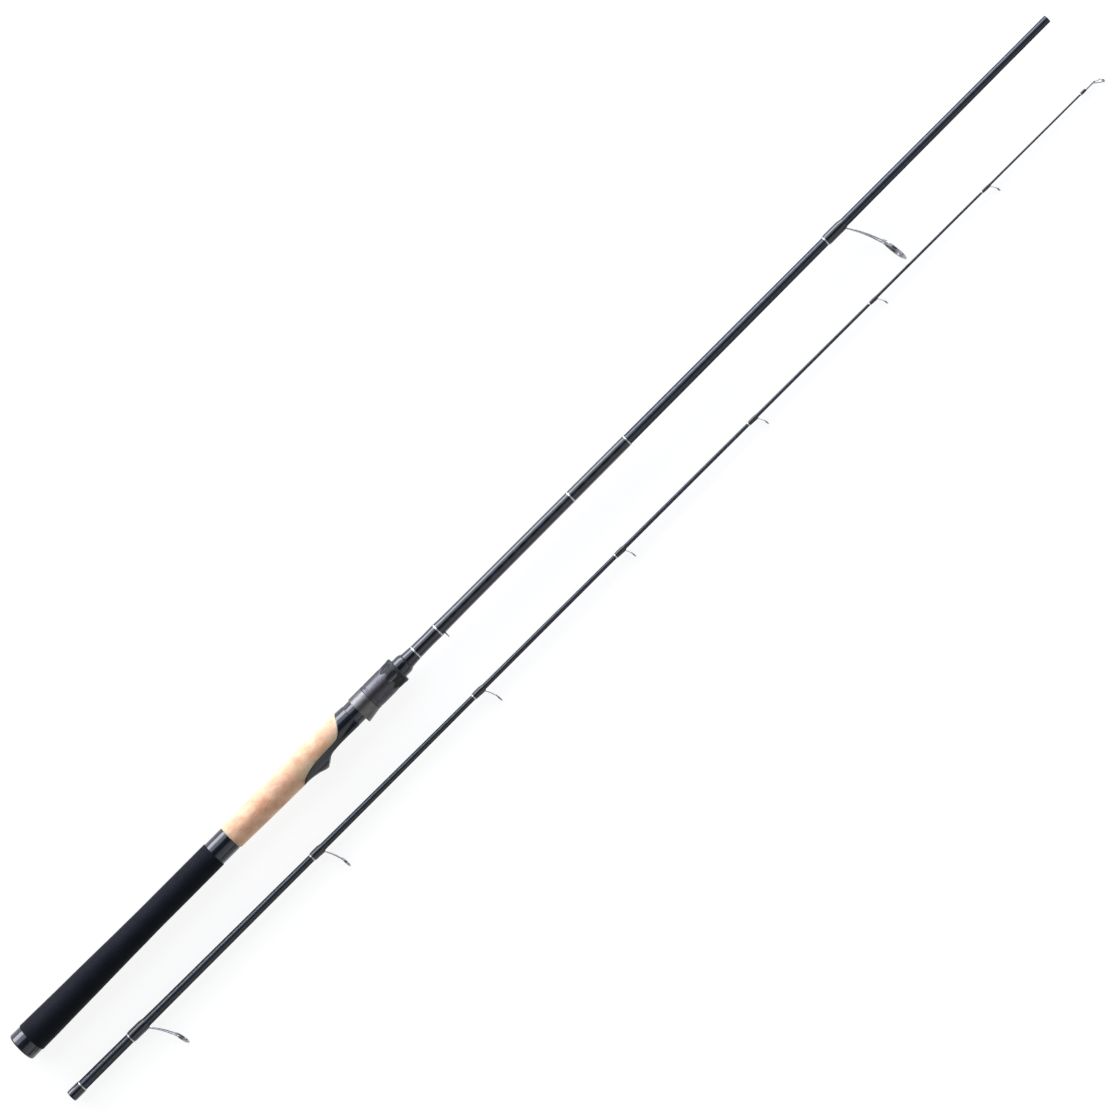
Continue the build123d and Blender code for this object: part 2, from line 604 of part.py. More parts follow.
def butt_section():
    """Pieces fixed to the butt blank, by node name."""
    keeper = hook_keeper()
    coat = BUTT_TAPER.raised(LABEL_COAT_RISE)
    blank = BUTT_TAPER
    rear_start = SEAT_TRIM_START + TRIM_WIDTH
    front_start = KEEPER_TRIM_START + TRIM_WIDTH
    front_end = LABEL_COAT_START
    rear_wrap = blank.sleeve(
        [(rear_start, 6.45), (478, 6.4), (488, 6.2), (494, 6.3), (KEEPER_TRIM_START, 6.42)]
    )
    front_wrap = blank.sleeve([(front_start, 6.35), (505, 6.05), (front_end, coat.radius(front_end) + 0.1)])
    pieces = {
        "butt_blank": butt_blank(),
        "butt_cap": butt_cap(),
        "rear_grip": rear_grip(),
        "grip_collar": grip_collar(),
        "cork_grip": cork_grip(),
        "reel_seat": reel_seat(),
        "seat_arbor_rear": seat_arbor(332.0, 366.0),
        "seat_arbor_front": seat_arbor(424.0, 458.0),
        "winding_check": winding_check(),
        "seat_trim": raised_band(SEAT_TRIM_START, 6.6),
        "keeper_wrap_rear": rear_wrap - keeper,
        "keeper_trim": raised_band(KEEPER_TRIM_START, 6.5) - keeper,
        "hook_keeper": keeper,
        "keeper_wrap_front": front_wrap - keeper,
        "label_coat": label_coat(),
        "label_trim": coat.band(LABEL_TRIM_START),
        "label_end_trim": blank.band(LABEL_COAT_END, rise=0.66),
    }
    pieces.update(STRIPPER.pieces("stripper_guide"))
    return pieces


def tip_section():
    """Pieces fixed to the tip blank, by node name, in the tip section's own frame."""
    pieces = {
        "tip_blank": tip_blank(),
        "ferrule_wrap": ferrule_wrap(),
        "ferrule_trim": TIP_TAPER.band(FERRULE_WRAP_END, rise=0.55),
    }
    for number, guide in enumerate(TIP_GUIDES, start=1):
        pieces.update(guide.pieces(f"tip_guide_{number}"))
    pieces.update(tip_top())
    return pieces


def main():
    tip_place = Pos(0, -TIP_OFFSET, TIP_BASE_HEIGHT) * Rot(0, TIP_PITCH_DEG, -TIP_YAW_DEG)
    nodes = butt_section()
    nodes["sliding_hood"] = sliding_hood()
    nodes["lock_nut"] = lock_nut()
    nodes.update({name: tip_place * piece for name, piece in tip_section().items()})
    os.makedirs("parts", exist_ok=True)
    for name, piece in nodes.items():
        export_step(piece, f"parts/{name}.step")


main()
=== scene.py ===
"""Looks of a two-piece spinning rod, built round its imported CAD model.

Sizes and stations are millimetres along a section's axis, from its butt end, and MM turns them into
metres. Angles round an axis start on the palm side and reach pi on the side of the guides.
"""

import json
import math

import bpy
import numpy as np
from mathutils import Matrix, Vector

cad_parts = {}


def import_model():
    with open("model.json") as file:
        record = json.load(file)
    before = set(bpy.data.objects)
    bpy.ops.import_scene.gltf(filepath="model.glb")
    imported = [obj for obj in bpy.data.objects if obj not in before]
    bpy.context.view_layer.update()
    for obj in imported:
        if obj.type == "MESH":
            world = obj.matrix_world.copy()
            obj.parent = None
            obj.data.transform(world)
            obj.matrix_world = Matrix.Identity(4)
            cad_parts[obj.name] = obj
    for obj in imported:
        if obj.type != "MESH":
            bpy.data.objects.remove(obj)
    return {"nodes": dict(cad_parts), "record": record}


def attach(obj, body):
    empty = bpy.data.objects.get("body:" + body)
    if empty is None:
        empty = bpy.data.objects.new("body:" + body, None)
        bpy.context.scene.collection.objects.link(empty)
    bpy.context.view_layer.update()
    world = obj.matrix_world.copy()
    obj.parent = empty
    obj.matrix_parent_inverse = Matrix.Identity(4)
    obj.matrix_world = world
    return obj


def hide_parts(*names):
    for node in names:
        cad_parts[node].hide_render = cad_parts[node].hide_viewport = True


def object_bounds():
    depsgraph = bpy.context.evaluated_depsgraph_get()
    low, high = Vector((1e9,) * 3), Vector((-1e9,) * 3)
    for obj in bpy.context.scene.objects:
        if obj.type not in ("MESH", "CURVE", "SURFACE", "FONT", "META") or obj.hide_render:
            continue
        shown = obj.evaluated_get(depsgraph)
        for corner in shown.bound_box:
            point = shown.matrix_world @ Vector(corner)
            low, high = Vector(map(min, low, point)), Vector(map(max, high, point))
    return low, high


MM = 0.001
TAU = 2 * math.pi
scene = bpy.context.scene
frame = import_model()
cad_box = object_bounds()
mounts = {m["name"]: m for m in frame["record"]["mounts"]}

# Handle: stations and radii that the shaped pieces of the handle share.
HANDLE_STATIONS = (251.6, 277, 310, 340, 358, 372, 387, 396.4)
HANDLE_RADII = (12.0, 12.5, 13.0, 13.3, 13.2, 12.7, 12.1, 11.6)
SEAT_START = 326.5
SHELL_END = 396.4
SEAT_END = 462.3
EDGE_SETBACK = 0.4
SEAT_BORE = 7.4
SEAT_TUBE_RADIUS = 9.58
DECK_DEPTH = 10.0
DECK_RISE = 0.1
DECK_START = 368.0
HOOD_BAR_RADIUS = 11.0
HOOD_BAR_OFFSET = 6.2
HOOD_WALL = 1.6
HOOD_START = 403.9
HOOD_END = 417.8
NUT_START = 417.9
NUT_END = 452.8
THREAD_PITCH = 3.0

# Carbon tape of the blanks, and how far a sleeve's bore sinks into what it sits on.
TAPE_PITCH = 7.0
TAPE_RELIEF = 0.004
BORE_OVERLAP = 0.02

# Side view of the line where cork meets reel seat, as (station, height towards the palm).
CORK_EDGE = (
    (326.0, -14.2), (329.5, -11.4), (336.0, -8.6), (346.0, -6.4), (358.0, -5.6), (368.0, -5.5),
    (374.5, -4.5), (379.0, -1.4), (383.0, 4.0), (387.0, 11.4), (388.3, 14.5),
)
# Depth of the reel seat's crest on the guide side: fixed hood, open mouth, deck.
CREST = (
    (326.5, 13.15), (336.0, 13.5), (344.4, 15.1), (349.0, 16.5), (351.6, 17.15), (352.6, 17.05),
    (353.8, 16.1), (355.6, 14.6), (359.6, 11.5), (363.5, 10.3), (368.0, 10.0), (400.0, 10.0),
)


# ---- shapes ----

def smooth_step(t):
    t = np.clip(t, 0.0, 1.0)
    return t * t * (3 - 2 * t)


def smooth_max(a, b, blend):
    """The larger of a and b, with the crease between them rounded over blend."""
    h = np.clip(0.5 + 0.5 * (a - b) / blend, 0, 1)
    return b + (a - b) * h + blend * h * (1 - h)


def smooth_min(a, b, blend):
    return -smooth_max(-a, -b, blend)


def curve_through(points, x):
    """Smooth height at x of a curve through (x, height) points."""
    px, py = np.array(points, float).T
    slope = np.gradient(py, px)
    k = np.clip(np.searchsorted(px, x) - 1, 0, len(px) - 2)
    width = px[k + 1] - px[k]
    t = np.clip((x - px[k]) / width, 0, 1)
    a = (2 * t**3 - 3 * t**2 + 1) * py[k] + (3 * t**2 - 2 * t**3) * py[k + 1]
    b = (t**3 - 2 * t**2 + t) * slope[k] + (t**3 - t**2) * slope[k + 1]
    return a + b * width


def lattice_noise(u, v, cells_round, seed):
    """Smooth noise in -1..1 on a unit lattice that repeats after cells_round cells in v."""
    rng = np.random.default_rng(seed)
    table = rng.uniform(-1, 1, (int(np.max(u)) + 3, cells_round))
    iu, iv = np.floor(u).astype(int), np.floor(v).astype(int)
    fu, fv = smooth_step(u - iu), smooth_step(v - iv)
    a, b = iv % cells_round, (iv + 1) % cells_round
    low = table[iu, a] * (1 - fv) + table[iu, b] * fv
    high = table[iu + 1, a] * (1 - fv) + table[iu + 1, b] * fv
    return low * (1 - fu) + high * fu


def stations(x0, x1, step, bevel=0.0):
    """Stations from x0 to x1, closer together over a bevel at each end."""
    inner = np.linspace(x0 + bevel, x1 - bevel, max(2, int(math.ceil((x1 - x0) / step)) + 1))
    if bevel == 0:
        return inner
    curve = bevel * (1 - np.cos(np.linspace(0, math.pi / 2, 5)[:-1]))
    return np.r_[x0 + curve, inner, x1 - curve[::-1]]


def end_rounding(x, bevel):
    """How far the surface drops near both ends of the stations, as a quarter circle."""
    nearest = np.minimum(x - x[0], x[-1] - x)
    short = np.clip(bevel - nearest, 0, bevel)
    return bevel - np.sqrt(np.maximum(bevel**2 - short**2, 0))


def around(count):
    return np.linspace(0, TAU, count, endpoint=False)


def offset_circle(angle, centre, radius):
    """Distance from the axis to a circle whose centre lies on the guide side by centre."""
    along = -centre * np.cos(angle)
    return along + np.sqrt(np.maximum(along**2 - centre**2 + radius**2, 0))


def rounded_square(corners, power):
    """Outline between -1 and 1 on both axes: a circle at power 1, squarer below that."""
    a = around(corners)
    return (np.sign(wave) * np.abs(wave) ** power for wave in (np.cos(a), np.sin(a)))


class Axis:
    """A straight axis that pieces are built round, and the body they ride on."""

    def __init__(self, body, origin, direction):
        x = Vector(direction).normalized()
        y = Vector((0, 0, 1)).cross(x).normalized()
        self.body = body
        self.turn = np.array([x, y, x.cross(y)]).T
        self.origin = np.array(origin, float)

    def place(self, x, y, z):
        """Points in the row frame, in metres, of millimetres along, towards the palm and up."""
        x, y, z = np.broadcast_arrays(x, y, z)
        return np.stack([x, y, z], axis=-1) * MM @ self.turn.T + self.origin

    def rings(self, x, radius, angle):
        """Points round the axis: one ring for each station."""
        x = x[:, None] if np.ndim(x) == 1 else x
        radius = radius[:, None] if np.ndim(radius) == 1 else radius
        return self.place(x, radius * np.cos(angle), radius * np.sin(angle))

    def tilted(self, x, y, degrees):
        """The axis through (x, y) of this one's side view, turned in that view."""
        a = math.radians(degrees)
        return Axis(self.body, self.place(x, y, 0), self.turn @ (math.cos(a), math.sin(a), 0))

    def outline(self, node):
        """Outer (station, radius) pairs of a turned CAD node, from its outward-facing faces."""
        mesh = frame["nodes"][node].data
        points = (np.array([v.co for v in mesh.vertices]) - self.origin) @ self.turn / MM
        least_outward, same_station, same_radius, full_ring = 0.05, 0.006, 0.005, 12
        outer = set()
        for face in mesh.polygons:
            _, y, z = (np.array(face.center) - self.origin) @ self.turn
            _, ny, nz = np.array(face.normal) @ self.turn
            if y * ny + z * nz > least_outward * math.hypot(y, z):
                outer.update(face.vertices)
        x, y, z = points[sorted(outer)].T
        radius = np.hypot(y, z)
        found = []
        for station in np.unique(np.round(x, 2)):
            here = radius[np.abs(x - station) < same_station]
            if np.count_nonzero(here > here.max() - same_radius) >= full_ring:
                found.append((station, here.max()))
        return np.array(found)

    def turned(self, node, step, bevel):
        """Stations along a turned CAD node, and its radius at each of them."""
        outline = self.outline(node)
        x = stations(outline[0, 0], outline[-1, 0], step, bevel)
        return x, np.interp(x, *outline.T)


class Section(Axis):
    """One half of the rod, with its blank's outside."""

    def __init__(self, body, origin, direction, blank):
        super().__init__(body, origin, direction)
        self.blank = self.outline(blank)

    def core(self, x):
        return np.interp(x, *self.blank.T)


socket = mounts["ferrule_socket"]
tip_direction = -Vector(socket["axis"])
tip_origin = Vector(socket["pos_m"]) - tip_direction * socket["dims"]["length_mm"] / 2 * MM
BUTT = Section("butt_section", (0, 0, 0), (1, 0, 0), "butt_blank")
TIP = Section("tip_section", tip_origin, tip_direction, "tip_blank")


def placed(name, data):
    """A new object in the scene."""
    obj = bpy.data.objects.new(name, data)
    scene.collection.objects.link(obj)
    return obj


def smooth(mesh, sharp):
    """Smooth shading, with creases where faces meet at more than sharp degrees."""
    mesh.shade_smooth()
    mesh.set_sharp_from_angle(angle=math.radians(sharp))


class Shape:
    """Points and faces of one piece, gathered from grids of rings."""

    def __init__(self):
        self.points = []
        self.tones = []
        self.faces = []
        self.count = 0

    def add(self, rings, loop=False, tone=0.0):
        """A grid of closed rings. With loop the last ring joins the first, else the ends are capped."""
        n, m, _ = rings.shape
        index = np.arange(n * m).reshape(n, m) + self.count
        here = index if loop else index[:-1]
        after = np.roll(index, -1, axis=0) if loop else index[1:]
        quads = np.stack([here, np.roll(here, -1, 1), np.roll(after, -1, 1), after], -1)
        self.faces += quads.reshape(-1, 4).tolist()
        if not loop:
            self.faces += [index[0][::-1].tolist(), index[-1].tolist()]
        self.points.append(rings.reshape(-1, 3))
        self.tones.append(np.broadcast_to(tone, (n, m)).ravel())
        self.count += n * m
        return self

    def shell(self, axis, x, outer, inner, angle, tone=0.0):
        """A closed shell between an outer and an inner surface round the axis."""
        outside = axis.rings(x, outer, angle)
        inside = axis.rings(x[::-1], inner[::-1], angle)
        tone = np.broadcast_to(tone, outside.shape[:2])
        return self.add(np.r_[outside, inside], True, np.r_[tone, 0 * tone])

    def mesh(self, name):
        made = bpy.data.meshes.new(name)
        made.from_pydata(np.concatenate(self.points), [], self.faces)
        return made

    def piece(self, node, body, look, slot, sharp=40):
        """The finished object: it rides on body and stands for the CAD node."""
        name = node + "_fine"
        mesh = self.mesh(name)
        tone = mesh.attributes.new("tone", "FLOAT", "POINT")
        tone.data.foreach_set("value", np.concatenate(self.tones).astype(np.float32))
        smooth(mesh, sharp)
        mesh.materials.append(look)
        obj = placed(name, mesh)
        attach(obj, body)
        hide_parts(node)
        return obj


def ribbon(axis, path, normal, width, thickness, corners=14):
    """Rings of a strip with rounded edges that follows path; normal is across its thickness."""
    path = np.array(path, float)
    ahead = np.gradient(path, axis=0)
    ahead /= np.linalg.norm(ahead, axis=1)[:, None]
    side = np.cross(normal, ahead)
    side /= np.linalg.norm(side, axis=1)[:, None]
    up = np.cross(ahead, side)
    across, through = rounded_square(corners, 0.45)
    w = np.broadcast_to(width, len(path))[:, None, None] / 2
    t = np.broadcast_to(thickness, len(path))[:, None, None] / 2
    rings = path[:, None] + side[:, None] * across[None, :, None] * w
    rings = rings + up[:, None] * through[None, :, None] * t
    return axis.place(*np.moveaxis(rings, -1, 0))


# ---- materials ----

class Nodes:
    """The nodes of a material or world: a shader, and what feeds it."""

    def __init__(self, owner, shader, **constants):
        owner.use_nodes = True
        self.tree = owner.node_tree
        self.shader = self.tree.nodes[shader]
        for key, value in constants.items():
            self.shader.inputs[key.replace("_", " ")].default_value = value

    def node(self, kind, links=None, **settings):
        made = self.tree.nodes.new(kind)
        for key, value in settings.items():
            setattr(made, key, value)
        for key, value in (links or {}).items():
            if isinstance(value, bpy.types.NodeSocket):
                self.tree.links.new(value, made.inputs[key])
            else:
                made.inputs[key].default_value = value
        return made

    def ramp(self, factor, *stops):
        """Colours at positions, from (position, colour) stops; a plain number is a grey."""
        made = self.node("ShaderNodeValToRGB", {"Fac": factor})
        band = made.color_ramp
        while len(band.elements) < len(stops):
            band.elements.new(0.5)
        for element, (position, colour) in zip(band.elements, stops):
            element.position = position
            element.color = (*np.broadcast_to(colour, 3), 1)
        return made.outputs["Color"]

    def feed(self, key, value):
        self.tree.links.new(value, self.shader.inputs[key])


class Look(Nodes):
    """A procedural material with a Principled shader."""

    def __init__(self, name, **constants):
        self.material = bpy.data.materials.new(name)
        super().__init__(self.material, "Principled BSDF", **constants)
        self.place = self.node("ShaderNodeTexCoord").outputs["Object"]

    def texture(self, kind, size, stretch, **settings):
        mapping = {"Vector": self.place, "Scale": (1 / stretch, 1, 1)}
        where = self.node("ShaderNodeMapping", mapping).outputs["Vector"]
        return self.node(kind, {"Vector": where, "Scale": 1 / (size * MM), **settings}).outputs[0]

    def noise(self, size, detail=3.0, stretch=1.0, distortion=0.0):
        """Noise whose features are size millimetres, and stretch times longer along the rod."""
        return self.texture("ShaderNodeTexNoise", size, stretch, Detail=detail, Distortion=distortion)

    def cells(self, size, stretch=1.0):
        """Distance to the nearest of scattered points, size millimetres apart."""
        return self.texture("ShaderNodeTexVoronoi", size, stretch)

    def tone(self):
        """The value that the mesh itself carries: pit depth, thread or tape."""
        return self.node("ShaderNodeAttribute", attribute_name="tone").outputs["Fac"]

    def blend(self, factor, a, b, mode="MIX"):
        links = {0: factor, 6: a, 7: b}
        return self.node("ShaderNodeMix", links, data_type="RGBA", blend_type=mode).outputs[2]

    def between(self, factor, low, high, out_low, out_high):
        links = {"Value": factor, "From Min": low, "From Max": high, "To Min": out_low, "To Max": out_high}
        return self.node("ShaderNodeMapRange", links).outputs["Result"]

    def paint(self, colour, *shades):
        """Base colour, multiplied by each shade."""
        for shade in shades:
            colour = self.blend(1.0, colour, shade, "MULTIPLY")
        self.feed("Base Color", colour)

    def rough(self, factor, start, end, low=0.3, high=0.7):
        """Roughness from start to end while factor goes from low to high."""
        self.feed("Roughness", self.between(factor, low, high, start, end))

    def relief(self, height, depth):
        """Adds surface relief of depth millimetres, and returns the finished material."""
        links = {"Height": height, "Strength": 1.0, "Distance": depth * MM}
        self.feed("Normal", self.node("ShaderNodeBump", links).outputs["Normal"])
        return self.material


def carbon_look():
    """Satin carbon in a dark metallic tint, with fibres along the rod and a trace of spiral tape."""
    look = Look("carbon_satin", Metallic=0.9, IOR=1.5, Specular_Tint=(0.12, 0.12, 0.13, 1))
    fibres = look.noise(0.35, stretch=60)
    base = look.ramp(fibres, (0.3, (0.045, 0.050, 0.057)), (0.7, (0.059, 0.066, 0.075)))
    tape = look.ramp(look.tone(), (0.0, (0.92, 0.93, 0.94)), (1.0, (1.04, 1.03, 1.02)))
    look.paint(base, tape)
    look.rough(look.noise(1.2, stretch=20), 0.24, 0.34)
    return look.relief(fibres, 0.006)


def label_look():
    """Clear coat over carbon: deep gloss, with a faint crossed tape pattern below."""
    look = Look("carbon_gloss", IOR=1.5, Coat_Weight=0.4, Coat_Roughness=0.04)
    tape = look.ramp(look.tone(), (0.2, (0.004, 0.005, 0.008)), (0.8, (0.009, 0.012, 0.018)))
    fibres = look.ramp(look.noise(0.3, stretch=40), (0.3, 0.8), (0.7, 1.3))
    look.paint(tape, fibres)
    look.rough(look.noise(3.0), 0.16, 0.26)
    return look.relief(look.noise(2.2, detail=1.0, stretch=3), 0.01)


def gloss_look():
    """Glossy black plastic with the slight waviness of a moulding."""
    look = Look("gloss_black", IOR=1.5, Coat_Weight=0.4, Coat_Roughness=0.05)
    base = look.ramp(look.noise(6.0, detail=5), (0.35, (0.003, 0.004, 0.007)), (0.7, (0.007, 0.009, 0.014)))
    look.paint(base)
    look.rough(look.noise(0.8, detail=6), 0.12, 0.26, high=0.75)
    return look.relief(look.noise(1.6, detail=2.0), 0.008)


def wrap_look():
    """Black winding thread under clear epoxy."""
    look = Look("thread_wrap", IOR=1.5, Coat_Weight=0.4, Coat_Roughness=0.03)
    thread = look.ramp(look.tone(), (0.0, (0.002, 0.002, 0.004)), (1.0, (0.009, 0.011, 0.016)))
    lint = look.ramp(look.noise(0.5, stretch=0.3), (0.35, 0.7), (0.75, 1.25))
    look.paint(thread, lint)
    look.rough(look.noise(2.0), 0.10, 0.2)
    return look.relief(look.noise(2.5, detail=1.0), 0.02)


def silver_look():
    """Metallic thread under clear epoxy."""
    look = Look("silver_thread", Metallic=0.85, IOR=1.5, Coat_Weight=0.3, Coat_Roughness=0.05)
    thread = look.ramp(look.tone(), (0.0, (0.20, 0.205, 0.22)), (0.6, (0.50, 0.505, 0.52)))
    sparkle = look.ramp(look.noise(0.25), (0.3, 0.8), (0.7, 1.15))
    look.paint(thread, sparkle)
    look.rough(look.noise(0.4), 0.22, 0.38)
    return look.material


def foam_look():
    """Ground closed-cell foam: matte, with open cells and a little sheen."""
    look = Look("eva_foam", IOR=1.15, Sheen_Weight=0.03, Sheen_Roughness=0.5)
    cell = look.cells(0.75)
    base = look.ramp(cell, (0.05, (0.0026, 0.0033, 0.0052)), (0.5, (0.0046, 0.0058, 0.0090)))
    cloud = look.ramp(look.noise(14, detail=6), (0.3, (0.82, 0.82, 0.84)), (0.7, 1.2))
    look.paint(base, cloud)
    look.rough(cell, 0.78, 0.6, 0.0, 0.6)
    return look.relief(look.noise(0.4, detail=5), 0.05)


def cork_look():
    """Sanded cork: warm blotches, fine grain, flecks, dark pits and joints."""
    scatter = {"Subsurface_Weight": 0.8, "Subsurface_Radius": (1.0, 0.45, 0.2), "Subsurface_Scale": 15 * MM}
    look = Look("cork", IOR=1.5, Sheen_Weight=0.2, Sheen_Roughness=0.6, **scatter)
    blotch = look.noise(9.0, detail=5, stretch=1.3, distortion=0.3)
    base = look.ramp(
        blotch, (0.32, (0.54, 0.30, 0.17)), (0.5, (0.61, 0.38, 0.235)), (0.68, (0.67, 0.46, 0.31))
    )
    grain = look.noise(0.55, detail=6, stretch=1.6)
    grain = look.ramp(grain, (0.3, (0.90, 0.88, 0.85)), (0.65, (1.04, 1.03, 1.02)))
    flecks = look.ramp(look.cells(2.6, stretch=1.7), (0.02, (0.80, 0.70, 0.61)), (0.16, 1.0))
    base = look.blend(0.7, look.blend(1.0, base, grain, "MULTIPLY"), flecks, "MULTIPLY")
    look.paint(look.blend(look.tone(), base, (0.27, 0.16, 0.095, 1)))
    look.rough(look.noise(1.0, detail=4), 0.62, 0.86)
    return look.relief(look.noise(0.3, detail=4), 0.03)


def metal_look(name, dark, light, rough, band=1.0):
    """Satin anodised or polished metal with fine turning marks; band scales the colour where tone is set."""
    look = Look(name, Metallic=1.0, IOR=1.5)
    base = look.ramp(look.noise(3.0, detail=6), (0.3, dark), (0.7, light))
    # Painted shade: on the nut, tone darkens the flute hollows as well as the darker front band.
    band_and_flute_shade = look.ramp(look.tone(), (0.0, 1.0), (1.0, (band, 1.05 * band, 1.03 * band)))
    look.paint(base, band_and_flute_shade)
    turned = look.between(look.noise(0.5, detail=5, stretch=0.15), 0.25, 0.75, *rough)
    blasted = look.between(look.tone(), 0.0, 1.0, 0.0, 0.6)
    rougher = look.node("ShaderNodeMath", {0: turned, 1: blasted}, operation="MAXIMUM")
    look.feed("Roughness", rougher.outputs[0])
    return look.relief(look.noise(0.2, detail=2, stretch=0.1), 0.004)


def ceramic_look():
    """Polished dark ceramic, very slightly mottled."""
    look = Look("ceramic", IOR=2.0, Coat_Weight=0.6, Coat_Roughness=0.02)
    look.paint(look.ramp(look.noise(1.0), (0.3, (0.030, 0.031, 0.036)), (0.7, (0.05, 0.052, 0.058))))
    look.rough(look.noise(0.6, detail=4), 0.08, 0.16)
    return look.relief(look.noise(0.8), 0.003)


def arbor_look():
    """Pale rigid foam of the bushings inside the reel seat."""
    look = Look("arbor_foam", IOR=1.45)
    look.paint(look.ramp(look.cells(0.8), (0.05, (0.45, 0.42, 0.34)), (0.5, (0.72, 0.69, 0.58))))
    look.rough(look.noise(0.7), 0.75, 0.95)
    return look.relief(look.noise(0.5, detail=5), 0.05)


CARBON = carbon_look()
LABEL = label_look()
GLOSS = gloss_look()
WRAP = wrap_look()
SILVER = silver_look()
FOAM = foam_look()
CORK = cork_look()
HOOD_METAL = metal_look("hood_metal", (0.112, 0.110, 0.108), (0.149, 0.146, 0.142), (0.34, 0.44))
# band 0.5 darkens the nut's front band and, as painted shade, its flute hollows.
NUT_METAL = metal_look("nut_metal", (0.071, 0.070, 0.076), (0.092, 0.091, 0.097), (0.36, 0.46), 0.5)
STEEL = metal_look("guide_steel", (0.33, 0.335, 0.35), (0.45, 0.455, 0.47), (0.14, 0.24))
CERAMIC = ceramic_look()
ARBOR = arbor_look()


# ---- turned pieces ----

def threads(x, angle, pitch):
    """Height 0..1 of round threads wound side by side."""
    phase = (x / pitch - angle / TAU) % 1
    return np.sqrt(np.maximum(1 - (2 * phase - 1) ** 2, 0))


def tape_ridges(x, angle, pitch):
    return 0.5 + 0.5 * np.cos(TAU * (x / pitch - angle / TAU))


def sleeve(section, x, radius, angle, tone=0.0):
    """A closed tube on the blank, its bore sunk a little into it."""
    return Shape().shell(section, x, radius, section.core(x) - BORE_OVERLAP, angle, tone)


def band(section, node):
    """Silver thread band."""
    thread, ridge, bevel = 0.28, 0.05, 0.12
    x, base = section.turned(node, 0.05, bevel)
    angle = around(72)
    wound = threads(x[:, None], angle, thread)
    radius = (base - end_rounding(x, bevel) * 0.6)[:, None] + ridge * (wound - 1)
    sleeve(section, x, radius, angle, wound).piece(node, section.body, SILVER, "silver_thread")


def wound_sleeve(section, node, bulge=None):
    """Thread wrap under epoxy; bulge(x, angle) raises it over what it holds down."""
    thread, ridge, bevel = 0.3, 0.014, 0.2
    x, base = section.turned(node, 0.1, bevel)
    angle = around(72)
    wound = threads(x[:, None], angle, thread)
    core = section.core(x)[:, None]
    base = (base - 0.35 * end_rounding(x, bevel))[:, None]
    if bulge is not None:
        base = smooth_max(core + 0.8 * (base - core), bulge(x[:, None], angle, base - core), 0.25)
    radius = base + ridge * (wound - 1)
    sleeve(section, x, radius, angle, wound).piece(node, section.body, WRAP, "thread_wrap")


def butt_blank():
    """Carbon blank, plain inside the handle, with a hollow spigot end."""
    end, bevel, spigot_start, bore_bottom, spigot_wall = 1230.0, 0.25, 1167, 1185.0, 1.1
    bare = stations(SEAT_END, end, 1.0, bevel)
    x = np.r_[[BUTT.blank[0, 0], SEAT_END - 1], bare]
    angle = around(40)
    ridge = tape_ridges(x[:, None], angle, TAPE_PITCH) * (x[:, None] < spigot_start)
    radius = BUTT.core(x)[:, None] + TAPE_RELIEF * (ridge - 1)
    radius[2:] -= end_rounding(bare, bevel)[:, None] * (bare[:, None] > spigot_start)
    hollow_x = np.array([end - 0.1, bore_bottom])
    hollow = np.full((2, len(angle)), BUTT.blank[-1, 1] - spigot_wall)
    rings = BUTT.rings(np.r_[x, hollow_x], np.r_[radius, hollow], angle)
    tone = np.r_[ridge, 0 * hollow]
    Shape().add(rings, tone=tone).piece("butt_blank", BUTT.body, CARBON, "carbon_blank")


def tip_blank():
    """Slender carbon blank with the socket at its thick end."""
    bevel, thick_blank_radius = 0.2, 3
    x = stations(0.0, TIP.blank[-1, 0], 1.0, bevel)
    angle = around(36)
    ridge = tape_ridges(x[:, None], angle, TAPE_PITCH)
    relief = TAPE_RELIEF * np.clip(TIP.core(x) / thick_blank_radius, 0.2, 1)[:, None]
    radius = TIP.core(x)[:, None] + relief * (ridge - 1) - end_rounding(x, bevel)[:, None]
    bore_x = np.array([socket["dims"]["length_mm"], 0.1])
    bore = np.full((2, len(angle)), socket["dims"]["r_mm"])
    rings = TIP.rings(np.r_[bore_x, x], np.r_[bore, radius], angle)
    tone = np.r_[0 * bore, ridge]
    Shape().add(rings, tone=tone).piece("tip_blank", TIP.body, CARBON, "carbon_blank")


def label_coat():
    """Clear-coated stretch of the butt section, with a crossed tape pattern below the gloss."""
    pitch, relief, bevel = 14.0, 0.01, 0.3
    x, base = BUTT.turned("label_coat", 0.8, bevel)
    angle = around(64)
    along, turn = x[:, None], angle[None, :]
    crossed = 0.5 * (tape_ridges(along, 2 * turn, pitch) + tape_ridges(along, -2 * turn, pitch))
    radius = (base - end_rounding(x, bevel))[:, None] + relief * (crossed - 1)
    shape = sleeve(BUTT, x, radius, angle, crossed)
    shape.piece("label_coat", BUTT.body, LABEL, "clear_coat")


def gloss_sleeve(node, step=0.5):
    """Glossy sleeve or ring turned to its CAD outline."""
    bevel, segments = 0.25, 128
    x, base = BUTT.turned(node, step, bevel)
    radius = base - end_rounding(x, bevel)
    sleeve(BUTT, x, radius, around(segments)).piece(node, BUTT.body, GLOSS, "gloss_black")


def butt_cap():
    """End cap: a flat face with a shallow dished centre and a softly rounded rim."""
    length, dish = 12.0, 0.9
    outline = BUTT.outline("butt_cap")
    outline = outline[outline[:, 1] > BUTT.core(length) + 2]
    rim = outline[0, 1]
    face = [(dish, 0.02), (dish, rim - 4.2), (0.75, rim - 3.8), (0.05, rim - 3.1), (0.0, rim - 2.8)]
    side_x = np.unique(np.r_[outline[:, 0], np.arange(2.0, length, 0.5), [length]])
    side = list(zip(side_x, np.interp(side_x, *outline.T)))
    x, radius = np.array(face + side).T
    shape = Shape().add(BUTT.rings(x, radius, around(144)))
    shape.piece("butt_cap", BUTT.body, GLOSS, "gloss_black", sharp=50)


